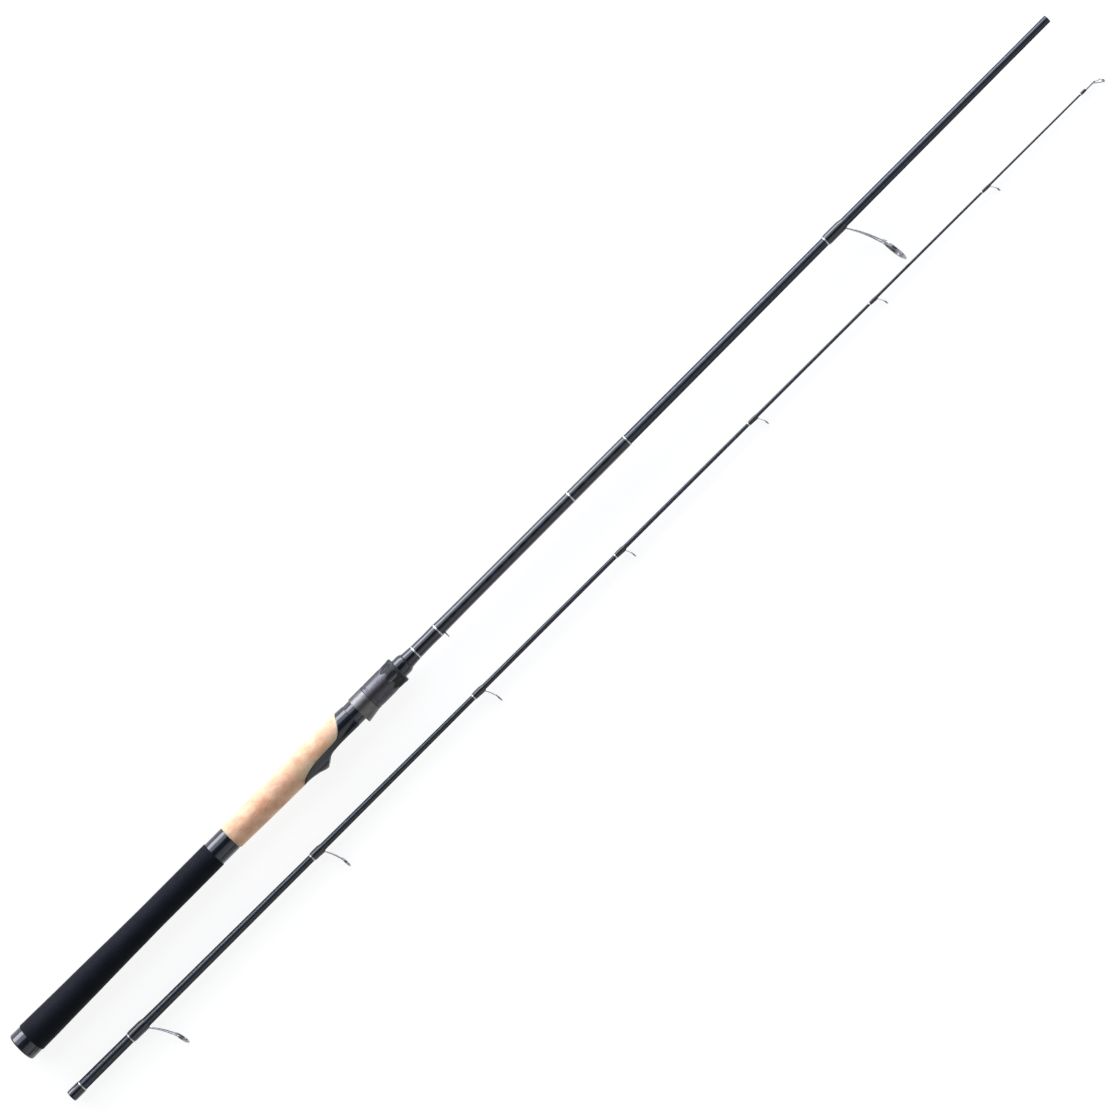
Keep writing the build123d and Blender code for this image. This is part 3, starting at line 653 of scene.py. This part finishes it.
def rear_grip():
    """Foam grip: ground surface with open cells and the slight waviness of soft foam."""
    count, bevel, fine_cell, wave_length, waves_round = 156, 0.8, 0.55, 22, 6
    x, base = BUTT.turned("rear_grip", fine_cell, bevel)
    angle = around(count)
    along, turn = x[:, None] - x[0], np.broadcast_to(angle / TAU, (len(x), count))
    cells = lattice_noise(along / (2 * fine_cell) + 0 * turn, turn * count / 2, count // 2, 11)
    fine = lattice_noise(along / fine_cell + 0 * turn, turn * count, count, 12)
    waves = lattice_noise(along / wave_length + 0 * turn, turn * waves_round, waves_round, 13)
    relief = 0.035 * cells + 0.03 * fine + 0.07 * waves - 0.09
    radius = base[:, None] + relief
    shape = sleeve(BUTT, x, radius, angle, 0.5 + 0.5 * fine)
    shape.piece("rear_grip", BUTT.body, FOAM, "eva_foam", sharp=80)


# ---- cork and reel seat ----

def envelope(x):
    """Radius of the handle over cork and reel seat."""
    return curve_through(list(zip(HANDLE_STATIONS, HANDLE_RADII)), x)


def edge_line(count):
    """Side view of the line where cork meets reel seat, at count stations."""
    x = np.linspace(CORK_EDGE[0][0], CORK_EDGE[-1][0], count)
    return x, curve_through(CORK_EDGE, x)


def edge_station(angle):
    """Station where the cork ends, for each angle round the handle."""
    edge_x, height = edge_line(800)
    turn = height / envelope(np.minimum(edge_x, SHELL_END))
    edge = np.interp(np.cos(angle), np.maximum.accumulate(turn), edge_x)
    return np.maximum(edge, SEAT_START + EDGE_SETBACK)


def edge_distance(x, height):
    """Distance in side view from a point to the line where cork meets reel seat."""
    nearest = 99.0
    for ex, ey in zip(*edge_line(160)):
        nearest = np.minimum(nearest, np.hypot(x - ex, height - ey))
    return nearest


def seam_groove(x, radius, angle):
    """Depth of the fine groove along the seam between cork and reel seat."""
    depth, half_width = 0.22, 0.55
    return depth * (1 - smooth_step(edge_distance(x, radius * np.cos(angle)) / half_width))


def cork_pits(x, angle, radius):
    """Depth 0..1 of the dark pits that cork shows, longer along the handle than round it."""
    rng = np.random.default_rng(7)
    depth = np.zeros(x.shape)
    pits, first, last = 200, 252.5, 386
    for _ in range(pits):
        px, pa = rng.uniform(first, last), rng.uniform(0, TAU)
        half_length, half_width = rng.uniform(0.3, 1.3), rng.uniform(0.18, 0.36)
        lean = rng.uniform(-0.5, 0.5)
        dx = x - px
        dv = ((angle - pa + math.pi) % TAU - math.pi) * radius
        u = (dx * math.cos(lean) + dv * math.sin(lean)) / half_length
        v = (dv * math.cos(lean) - dx * math.sin(lean)) / half_width
        depth = np.maximum(depth, rng.uniform(0.25, 0.9) * np.clip(1.25 - u * u - v * v, 0, 1))
    return depth


def cork_grip():
    """Cork grip of glued rings: pits, faint joints and a sanded, slightly uneven surface."""
    ring, joint_depth, pit_depth, clearance = 12.7, 0.02, 0.3, 0.05
    grain_cell, cells_round, wave_length, waves_round = 0.9, 108, 9, 8
    angle = around(2 * cells_round)
    start = HANDLE_STATIONS[0]
    end = edge_station(angle)
    share = stations(0.0, 1.0, 1 / 300, 0.0015)[:, None]
    x = start + share * (end - start)
    base = envelope(x)
    turn = np.broadcast_to(angle, x.shape)
    pits = cork_pits(x, turn, base)
    joint = np.abs((x - start + ring / 2) % ring - ring / 2)
    joints = joint_depth * (1 - smooth_step(joint / 0.35))
    grain = lattice_noise((x - start) / grain_cell, turn / TAU * cells_round, cells_round, 21)
    waves = lattice_noise((x - start) / wave_length, turn / TAU * waves_round, waves_round, 22)
    rounding = 0.3 * (1 - smooth_step((x - start) / 0.5))
    outer = base + 0.025 * grain + 0.05 * waves - pit_depth * pits - joints - rounding
    outer = outer - seam_groove(x, base, turn) - clearance
    inner = np.where(x < SEAT_START + EDGE_SETBACK, BUTT.core(x), SEAT_TUBE_RADIUS)
    tone = np.clip(1.3 * pits + 6 * joints, 0, 1)
    shape = Shape().shell(BUTT, x, outer, inner, angle, tone)
    shape.piece("cork_grip", BUTT.body, CORK, "cork", sharp=60)


def seat_shell(x, angle):
    """Outer radius of the reel seat's shell: envelope, fixed hood, open mouth and flat deck."""
    blend, round_edge, tight_edge, tighter_from, tighter_over = 0.8, 2.6, 0.6, 343, 7
    bar = offset_circle(angle, HOOD_BAR_OFFSET, HOOD_BAR_RADIUS)
    radius = smooth_max(envelope(x), bar, blend)
    towards = np.maximum(-np.cos(angle), 0.02)
    crest = curve_through(CREST, x) / towards
    tightening = smooth_step((x - tighter_from) / tighter_over)
    return smooth_min(radius, crest, round_edge - (round_edge - tight_edge) * tightening)


def seat_tube(x, angle):
    """Outer radius in front of the shell: keyed track, thread, barrel."""
    track_end, thread_start, thread_end = 413.0, 415.0, 441.5
    track, root, barrel, key_radius, key_half_width = 10.4, 9.2, 8.95, 10.9, 1.5
    ridge_height, ridge_half_width, flank, run_out = 0.7, 0.85, 0.35, 1.5
    profile = (
        (SHELL_END, track), (track_end, track), (track_end + 0.8, root), (thread_end + 1, root),
        (thread_end + 1.4, barrel), (SEAT_END - 3.4, barrel), (SEAT_END - 1.2, 8.4), (SEAT_END, 7.6),
    )
    radius = np.interp(x, *np.array(profile).T)
    phase = np.abs(((x - thread_start) / THREAD_PITCH - angle / TAU) % 1 - 0.5) * THREAD_PITCH
    ridge = ridge_height * np.clip((ridge_half_width - phase) / flank, 0, 1)
    ridge = ridge * smooth_step((x - thread_start) / run_out) * smooth_step((thread_end - x) / run_out)
    radius = radius + ridge
    on_key = np.abs(np.sin(angle)) * key_radius < key_half_width
    key = (x < track_end) & on_key & (np.cos(angle) > 0)
    radius = np.where(key, key_radius / np.maximum(np.cos(angle), 0.5), radius)
    return np.minimum(radius, (DECK_DEPTH - DECK_RISE) / np.maximum(-np.cos(angle), 0.02))


def reel_seat():
    """Moulded reel seat as one skin, with the pocket for the reel foot cut into its fixed hood."""
    angle = around(256)
    full = np.ones((1, len(angle)))
    edge = edge_station(angle)
    share = stations(0.0, 1.0, 1 / 150)[:, None]
    shell_x = edge + share * (SHELL_END - edge)
    turn = np.broadcast_to(angle, shell_x.shape)
    shell = seat_shell(shell_x, turn)
    end_drop = 0.35 * (1 - smooth_step((SHELL_END - shell_x) / 0.45))
    shell = shell - seam_groove(shell_x, shell, turn) - end_drop
    tube_x = np.r_[stations(SHELL_END + 0.02, 414.6, 0.3), stations(414.8, SEAT_END, 0.2)]
    tube_x = tube_x[:, None] * full
    tube = seat_tube(tube_x, np.broadcast_to(angle, tube_x.shape))
    hidden = SEAT_TUBE_RADIUS - 0.1
    rows = [
        (SEAT_START * full, SEAT_BORE * full), (SEAT_START * full, hidden * full),
        ((edge - 0.02) * full, hidden * full), (shell_x, shell), (tube_x, tube),
        (SEAT_END * full, SEAT_BORE * full),
    ]
    x, radius = (np.concatenate(part) for part in zip(*rows))
    shape = Shape().add(BUTT.rings(x, radius, angle), loop=True)
    seat = shape.piece("reel_seat", BUTT.body, GLOSS, "gloss_black", sharp=45)
    cut_away(seat, foot_pocket())


def foot_pocket():
    """The space for the heel of a reel foot under the fixed hood, as a closed cutter."""
    start, across_count = 342.5, 12
    x = np.linspace(start, DECK_START, 60)
    floor_depth = DECK_DEPTH - DECK_RISE
    roof = np.interp(x, (start, 343.6, 352.0, 372.0), (12.4, 13.3, 15.3, 18.5))
    radius = HOOD_BAR_RADIUS - HOOD_WALL
    reach = math.sqrt(radius**2 - (floor_depth - HOOD_BAR_OFFSET) ** 2)
    z = reach * np.cos(np.linspace(0, math.pi, 40))
    arch = HOOD_BAR_OFFSET + np.sqrt(radius**2 - z**2)
    top = np.maximum(smooth_min(arch[None, :], roof[:, None], 0.8), floor_depth + 0.01)
    flat = np.full((len(x), across_count), floor_depth)
    across = np.r_[z, np.linspace(-reach * 0.98, reach * 0.98, across_count)]
    depth = np.concatenate([top, flat], axis=1)
    rings = BUTT.place(x[:, None], -depth, np.broadcast_to(across, depth.shape))
    return placed("foot_pocket", Shape().add(rings).mesh("foot_pocket"))


def cut_away(obj, cutter):
    """Takes the cutter's space out of obj, then removes the cutter."""
    modifier = obj.modifiers.new("pocket", "BOOLEAN")
    modifier.operation = "DIFFERENCE"
    modifier.solver = "EXACT"
    modifier.object = cutter
    bpy.context.view_layer.update()
    evaluated = obj.evaluated_get(bpy.context.evaluated_depsgraph_get())
    cut = bpy.data.meshes.new_from_object(evaluated)
    obj.modifiers.clear()
    obj.data = cut
    smooth(cut, 40)
    bpy.data.objects.remove(cutter)


def sliding_hood():
    """Sliding hood: round body, flared lip towards the reel foot, hollow mouth, keyway and tail."""
    body_radius, lip_offset, lip_radius, bevel = 12.0, 3.7, 10.4, 0.3
    mouth_depth, bore_radius, keyway_radius, keyway_half_width = 9.6, 10.5, 11.0, 1.7
    tail_profile = ((HOOD_END + 0.02, 11.1), (420.9, 11.1), (421.1, 11.3), (422.0, 11.3), (422.2, 11.1))
    angle = around(192)[None, :]
    body_x = stations(HOOD_START, HOOD_END, 0.25, bevel)
    x = body_x[:, None]
    share = (x - HOOD_START) / (HOOD_END - HOOD_START)
    lip = offset_circle(angle, lip_offset * (1 - share), lip_radius + (body_radius - lip_radius) * share)
    body = smooth_max(body_radius + 0 * lip, lip, 0.35) - end_rounding(body_x, bevel)[:, None]
    tail_x, tail = np.array(tail_profile).T
    tail = tail[:, None] + 0 * angle
    outer = np.r_[body, tail]
    x = np.r_[body_x, tail_x][:, None]
    depth = np.clip((x - (HOOD_START - 0.5)) / (mouth_depth + 0.5), 0, 1)
    mouth = offset_circle(angle, 3.8 - 1.6 * depth, 9.3 - 1.1 * depth) * (x < HOOD_START + mouth_depth)
    bore = np.maximum(bore_radius + 0 * mouth, mouth)
    keyway = (np.abs(np.sin(angle)) * keyway_radius < keyway_half_width) & (np.cos(angle) > 0)
    inner = np.where(keyway, keyway_radius / np.maximum(np.cos(angle), 0.5), bore)
    shape = Shape().shell(BUTT, x[:, 0], outer, inner, angle[0])
    shape.piece("sliding_hood", "hood_body", HOOD_METAL, "hood_metal", sharp=35)


def lock_nut():
    """Lock nut: snap groove behind, eight round-ended flutes and a rolled lip in front."""
    outline = (
        (NUT_START, 11.75), (418.2, 12.0), (420.6, 12.0), (420.9, 11.65), (421.7, 11.65), (422.0, 12.0),
        (440.0, 12.0), (446.0, 12.3), (452.1, 12.3), (NUT_END, 11.65),
    )
    bores = (
        (NUT_START, 11.2), (420.7, 11.2), (420.8, 11.42), (422.6, 11.42), (422.7, 10.15), (449.2, 10.15),
        (450.0, 9.25), (NUT_END, 9.25),
    )
    flute_start, flute_end, flute_radius, flute_offset, flutes = 441.8, 446.8, 5.5, 16.5, 8
    no_flute = 99.0
    spans = ((NUT_START, 423.0, 0.1), (423.5, 437.0, 0.75), (437.2, NUT_END, 0.12))
    x = np.concatenate([stations(*span) for span in spans])
    angle = around(320)[None, :]
    base = np.interp(x, *np.array(outline).T)[:, None]
    beyond = np.maximum(np.maximum(flute_start - x, x - flute_end), 0)[:, None]
    reach = np.sqrt(np.maximum(flute_radius**2 - beyond**2, 0))
    turn = (angle + math.pi / flutes) % (TAU / flutes) - math.pi / flutes
    inside = reach**2 - (flute_offset * np.sin(turn)) ** 2
    hollow = flute_offset * np.cos(turn) - np.sqrt(np.maximum(inside, 0))
    hollow = np.where(inside > 0, hollow, no_flute)
    outer = smooth_min(base + 0 * hollow, hollow, 0.18)
    inner = np.interp(x, *np.array(bores).T)[:, None] + 0 * angle
    dark_band = smooth_step((x - flute_start + 0.2) / 1.2) * smooth_step((NUT_END - 0.5 - x) / 0.4)
    # tone: the darker, rougher front band, plus painted shade darkening the flute hollows wherever the
    # surface sinks below the outline.
    tone = np.maximum(dark_band[:, None], smooth_step((base - outer - 0.05) / 0.3))
    shape = Shape().shell(BUTT, x, outer, inner, angle[0], tone)
    shape.piece("lock_nut", "nut_body", NUT_METAL, "nut_metal", sharp=35)


def hook_keeper():
    """Wire loop for the hook, standing on a flat foot."""
    x, wire, half, reach, foot_width, foot_sheet = 502.4, 0.55, 2.3, 11.0, 3.0, 0.5
    low = BUTT.core(x)
    top = reach - wire - half
    bend = np.linspace(0, math.pi, 17)
    legs = np.linspace(low - 0.3, top, 10)
    height = np.r_[legs, top + half * np.sin(bend[1:-1]), legs[::-1]]
    across = np.r_[0 * legs + half, half * np.cos(bend[1:-1]), 0 * legs - half]
    flare = 1 + 0.9 * np.clip(1 - (height - low) / 1.4, 0, 1)
    path = np.stack([0 * height + x, -height, across], -1)
    loop = ribbon(BUTT, path, (1, 0, 0), 2 * wire, 2 * wire * flare, corners=16)
    foot_x = np.linspace(x - 9, x + 8, 30)
    foot_height = BUTT.core(foot_x) + 0.15
    foot_path = np.stack([foot_x, -foot_height, 0 * foot_x], -1)
    foot = ribbon(BUTT, foot_path, (0, -1, 0), foot_width, foot_sheet)
    shape = Shape().add(loop).add(foot)
    shape.piece("hook_keeper", BUTT.body, STEEL, "guide_steel", sharp=60)


# ---- line guides ----

class Guide:
    """A single-foot line guide: frame, ceramic ring, thread wrap and silver band."""

    def __init__(self, name, section, *sizes):
        self.__dict__.update(zip(GUIDE_SIZES, sizes), name=name, section=section)
        self.ring_r = self.ring_od / 2
        self.ring_axis = section.tilted(self.x_ring, -self.height, self.tilt)
        self.rim = max(0.075 * self.ring_r + 0.25, 0.45)
        self.insert_r = self.ring_r - self.rim
        self.hole_r = self.insert_r - max(0.12 * self.ring_r + 0.35, 0.5)
        self.depth = 0.15 * self.ring_r + 0.75
        self.low = section.core(self.x_leg)
        reach = math.sqrt((self.low + 0.9 * self.wrap) ** 2 - (self.foot / 2) ** 2)
        self.covered = reach - self.low
        self.foot_start = self.x_trim + 2.0
        self.shoulder = self.x_leg - 0.12 * (self.x_leg - self.x_trim) - 0.6

    def foot_bulge(self, x, angle, rise):
        """Radius of thread drawn over the foot: flat on its top, straight down to the blank."""
        r = self.section.core(x)
        share = np.clip((x - self.foot_start) / (self.shoulder - self.foot_start), 0, 1)
        ends = smooth_step((x - self.foot_start + 1.0) / 1.5) * smooth_step((self.x_leg + 1.6 - x) / 1.6)
        top = r + self.covered * (0.2 + 0.8 * share) * ends
        half = self.foot / 2
        corner = np.hypot(top, half)
        corner_turn = np.arctan2(half, top)
        leave = corner_turn + np.arccos(r / corner)
        turn = np.abs((angle % TAU) - math.pi)
        flat = top / np.cos(np.minimum(turn, corner_turn))
        down = r / np.cos(np.clip(leave - turn, 0, 1.4))
        hull = np.where(turn < corner_turn, flat, np.where(turn < leave, down, r))
        return hull + 0.3 * np.clip(rise / rise.max(), 0, 1)

    def leg_line(self, share):
        """Side view of the leg's middle: it leaves the foot at a slant and ends upright."""
        start = np.array([self.x_leg - 0.5, -self.low - 0.45 * self.sheet])
        run = np.array([self.x_ring, -self.height]) - start
        across = np.array([-run[1], run[0]]) / np.hypot(*run)
        bow = 0.055 * np.hypot(*run) * 4 * share * (1 - share)
        return start + share[:, None] * run + bow[:, None] * across

    def half_spread(self, depth):
        """Half the leg's width in front view at a depth: straight sides, then round the ring."""
        base = self.foot / 2
        low = self.low - 0.3
        lean = (self.ring_r - base) / (self.height - self.low)
        touch = self.height - self.ring_r * lean
        top = self.ring_r * math.sqrt(1 - lean * lean)
        straight = base + (depth - low) * (top - base) / (touch - low)
        circle = np.sqrt(np.maximum(self.ring_r**2 - (self.height - depth) ** 2, 0))
        return np.where(depth < touch, straight, circle)

    def side_normal(self, line):
        ahead = np.gradient(line, axis=0)
        normal = np.stack([-ahead[:, 1], ahead[:, 0], 0 * ahead[:, 0]], -1)
        return normal / np.linalg.norm(normal, axis=1)[:, None]

    def add_legs(self, shape):
        """A strut on each side, from the foot up to the ring's middle."""
        share = np.linspace(0.0, 1.0, 34)
        line = self.leg_line(share)
        slope = math.tan(math.radians(self.tilt))
        past = -line[:, 1] - self.height
        in_ring = smooth_step((past + self.ring_r * 1.2) / self.ring_r)
        ring_x = self.x_ring + past * slope
        line[:, 0] += (ring_x - line[:, 0]) * in_ring
        near = smooth_step((share - 0.55) / 0.45)
        strut = self.strut or 1.25 * self.rim
        width = strut + (0.9 * self.rim - strut) * near
        spread = self.half_spread(-line[:, 1]) - width / 2
        normal = self.side_normal(line)
        for side in (1, -1):
            path = np.column_stack([line, side * np.maximum(spread, 0)])
            shape.add(ribbon(self.section, path, normal, width, self.sheet * (1 - 0.15 * near)))

    def add_plate(self, shape, upper):
        """The full width of the leg from the foot up to a share of its length."""
        share = np.linspace(0.0, upper, 16)
        line = self.leg_line(share)
        width = 2 * self.half_spread(-line[:, 1]) * 0.99
        path = np.column_stack([line, 0 * share])
        shape.add(ribbon(self.section, path, self.side_normal(line), width, self.sheet, corners=18))

    def add_foot(self, shape):
        """Foot under the wrap, bending up into the leg."""
        share = np.linspace(0, 1, 20)
        x = self.foot_start + share * (self.x_leg - self.foot_start)
        thickness = self.covered * (0.25 + 0.75 * share)
        depth = self.section.core(x) + thickness / 2
        path = np.stack([x, -depth, 0 * x], -1)
        shape.add(ribbon(self.section, path, (0, 1, 0), self.foot * 0.97, thickness))

    def rim_profile(self):
        """Closed cross-section of the steel rim, with rounded edges."""
        across, out = rounded_square(20, 0.5)
        x = 0.31 * self.depth * across
        r = 0.5 * self.rim * out
        return x[::-1], (self.insert_r + self.rim / 2 + r)[::-1]

    def insert_profile(self):
        """Closed cross-section of the ceramic ring: flat outside, fully rounded inside."""
        a = np.linspace(0, math.pi, 17)
        thick = self.insert_r - self.hole_r
        inner_x = 0.5 * self.depth * np.cos(a)
        inner_r = self.insert_r - 0.15 * thick - 0.85 * thick * np.sin(a) ** 0.8
        x = np.r_[inner_x, [-0.46 * self.depth, 0.46 * self.depth]]
        r = np.r_[inner_r, [self.insert_r + 0.02] * 2]
        return x, r

    def build(self):
        body = self.section.body
        turns = around(96 if self.ring_r > 4 else 64)
        steel = Shape().add(self.ring_axis.rings(*self.rim_profile(), turns), loop=True)
        self.add_foot(steel)
        self.add_legs(steel)
        solid = 1.5 * self.strut or self.height - self.ring_r - self.low
        self.add_plate(steel, solid / (self.height - self.low))
        steel.piece(self.name + "_frame", body, STEEL, "guide_steel", 60)
        ring = Shape().add(self.ring_axis.rings(*self.insert_profile(), turns), loop=True)
        ring.piece(self.name + "_ring", body, CERAMIC, "ceramic", 60)
        wound_sleeve(self.section, self.name + "_wrap", self.foot_bulge)
        band(self.section, self.name + "_trim")


# Each guide: band, leg and ring stations, ring height and diameter, ring tilt in degrees, width of the foot,
# thickness of the sheet, width of the leg's struts (0 for a leg with no window), and rise of the wrap.
GUIDE_SIZES = "x_trim x_leg x_ring height ring_od tilt foot sheet strut wrap".split()
GUIDES = (
    ("stripper_guide", BUTT, 963.4, 984.6, 1000.2, 45.8, 26.5, 7, 4.4, 1.3, 2.4, 1.2),
    ("tip_guide_1", TIP, 70.0, 88.0, 101.6, 30.5, 15.4, 12, 3.6, 1.1, 1.7, 1.15),
    ("tip_guide_2", TIP, 286.8, 298.9, 305.2, 22.9, 10.8, 4, 2.8, 0.90, 1.25, 1.1),
    ("tip_guide_3", TIP, 479.8, 491.3, 495.4, 15.6, 7.6, 3, 2.2, 0.75, 0, 1.0),
    ("tip_guide_4", TIP, 649.3, 659.6, 662.0, 9.8, 5.7, 5, 1.7, 0.60, 0, 0.8),
    ("tip_guide_5", TIP, 808.2, 818.2, 821.2, 9.5, 5.3, 5, 1.5, 0.50, 0, 0.65),
    ("tip_guide_6", TIP, 953.0, 961.8, 965.0, 8.5, 4.8, 5, 1.3, 0.45, 0, 0.55),
    ("tip_guide_7", TIP, 1087.6, 1097.1, 1100.2, 7.9, 4.5, 5, 1.2, 0.40, 0, 0.5),
)


def tip_top():
    """Tip-top: tube over the blank's end, two wire braces, rim and ceramic ring."""
    x0, x1, tube_r, bevel, wire = 1206.9, 1223.0, 1.15, 0.35, 0.76
    ring_x, ring_y, ring_r, rim_r, hole_r, ring_tilt = 1228.6, -4.5, 2.2, 1.8, 1.25, 12
    tube_x = stations(x0, x1, 0.8, bevel)
    tube = tube_r - end_rounding(tube_x, bevel) * (tube_x > (x0 + x1) / 2)
    shape = Shape().add(TIP.rings(tube_x, tube, around(40)))
    upper = (x1 - 1.2, -0.2), (ring_x - 0.35, ring_y + 2.0)
    lower = (x1 - 2.4, -0.6), (ring_x + 0.2, ring_y - 1.95)
    for (sx, sy), (ex, ey) in (upper, lower):
        share = np.linspace(0, 1, 14)
        bow = 0.25 * np.sin(math.pi * share)
        path = np.stack([sx + share * (ex - sx), sy + share * (ey - sy) - bow, 0 * share], -1)
        shape.add(ribbon(TIP, path, (0, 0, 1), wire, wire, corners=12))
    axis = TIP.tilted(ring_x, ring_y, ring_tilt)
    a = around(16)[::-1]
    rim = (ring_r + rim_r) / 2 + (ring_r - rim_r) / 2 * np.sin(a)
    shape.add(axis.rings(0.5 * np.cos(a), rim, around(56)), loop=True)
    shape.piece("tip_top_frame", TIP.body, STEEL, "guide_steel", sharp=60)
    half = np.linspace(0, math.pi, 13)
    insert_x = np.r_[0.6 * np.cos(half), [-0.5, 0.5]]
    shoulder = rim_r - 0.05
    insert = np.r_[shoulder - (shoulder - hole_r) * np.sin(half), [rim_r, rim_r]]
    ring = Shape().add(axis.rings(insert_x, insert, around(56)), loop=True)
    ring.piece("tip_top_ring", TIP.body, CERAMIC, "ceramic", sharp=60)
    wound_sleeve(TIP, "tip_top_wrap")
    band(TIP, "tip_top_trim")


# ---- camera, light, floor ----

# Middle of the rod on the table, in metres, and the tint of the light from the palm side.
MIDDLE = (0.6, -0.03, 0.0)
DAYLIGHT = (0.94, 0.97, 1.10)


def camera():
    """Straight down on the rod, butt at the lower left, with a long lens."""
    data = bpy.data.cameras.new("camera")
    data.lens = 135
    data.sensor_width = 36
    data.clip_end = 50
    obj = placed("camera", data)
    view_width, centre_x, centre_y = 0.9478, 0.6144, -0.0314
    distance = view_width * data.lens / data.sensor_width
    up = Vector((0.70815, 0.70607, 0)).normalized()
    right = up.cross(Vector((0, 0, 1)))
    turn = Matrix((right, up, Vector((0, 0, 1)))).transposed().to_4x4()
    obj.matrix_world = Matrix.Translation((centre_x, centre_y, distance)) @ turn
    scene.camera = obj


def softbox(name, place, width, depth, radiance, colour=(1, 1, 1)):
    """Rectangular light of an even radiance, facing the rod's middle."""
    data = bpy.data.lights.new(name, "AREA")
    data.shape = "RECTANGLE"
    data.size = width
    data.size_y = depth
    data.energy = radiance * math.pi * width * depth
    data.color = colour
    obj = placed(name, data)
    facing = (Vector(MIDDLE) - Vector(place)).to_track_quat("-Z", "Y")
    obj.matrix_world = Matrix.Translation(place) @ facing.to_matrix().to_4x4()


def world():
    """Pale surroundings that darken overhead, where the camera stands."""
    scene.world = bpy.data.worlds.new("studio")
    sky = Nodes(scene.world, "Background", Strength=0.8)
    direction = sky.node("ShaderNodeTexCoord").outputs["Generated"]
    height = sky.node("ShaderNodeSeparateXYZ", {0: direction}).outputs["Z"]
    sky.feed("Color", sky.ramp(height, (0.55, (0.50, 0.52, 0.56)), (0.95, (0.06, 0.065, 0.08))))


def floor():
    """Plain white table top that both sections lie on."""
    gap, half = 0.0003, 6.0
    low = cad_box[0].z - gap
    left, right = MIDDLE[0] - half, MIDDLE[0] + half
    mesh = bpy.data.meshes.new("floor")
    corners = [(left, -half, low), (right, -half, low), (right, half, low), (left, half, low)]
    mesh.from_pydata(corners, [], [(0, 1, 2, 3)])
    look = Look("white_table", Roughness=0.9, Emission_Color=(1, 1, 1, 1), Emission_Strength=0.86)
    look.paint(look.ramp(look.noise(300), (0.3, 0.15), (0.7, 0.17)))
    mesh.materials.append(look.material)
    placed("floor", mesh)


camera()
world()
floor()
softbox("key", (0.6, 1.60, 0.34), 3.6, 1.0, 8.5, DAYLIGHT)
softbox("upper_key", (0.6, 1.50, 1.50), 3.6, 1.2, 2.0, DAYLIGHT)
softbox("fill", (0.6, -1.75, 1.90), 3.6, 2.6, 0.60)

butt_blank()
tip_blank()
label_coat()
butt_cap()
rear_grip()
gloss_sleeve("grip_collar")
gloss_sleeve("winding_check", step=0.1)
cork_grip()
reel_seat()
sliding_hood()
lock_nut()
hook_keeper()
for node in ("keeper_wrap_rear", "keeper_wrap_front"):
    wound_sleeve(BUTT, node)
for node in ("seat_trim", "keeper_trim", "label_trim", "label_end_trim"):
    band(BUTT, node)
wound_sleeve(TIP, "ferrule_wrap")
band(TIP, "ferrule_trim")
for guide in GUIDES:
    Guide(*guide).build()
tip_top()
for arbor in ("seat_arbor_rear", "seat_arbor_front"):
    looks = frame["nodes"][arbor].data.materials
    looks.clear()
    looks.append(ARBOR)

scene.view_settings.view_transform = "Standard"
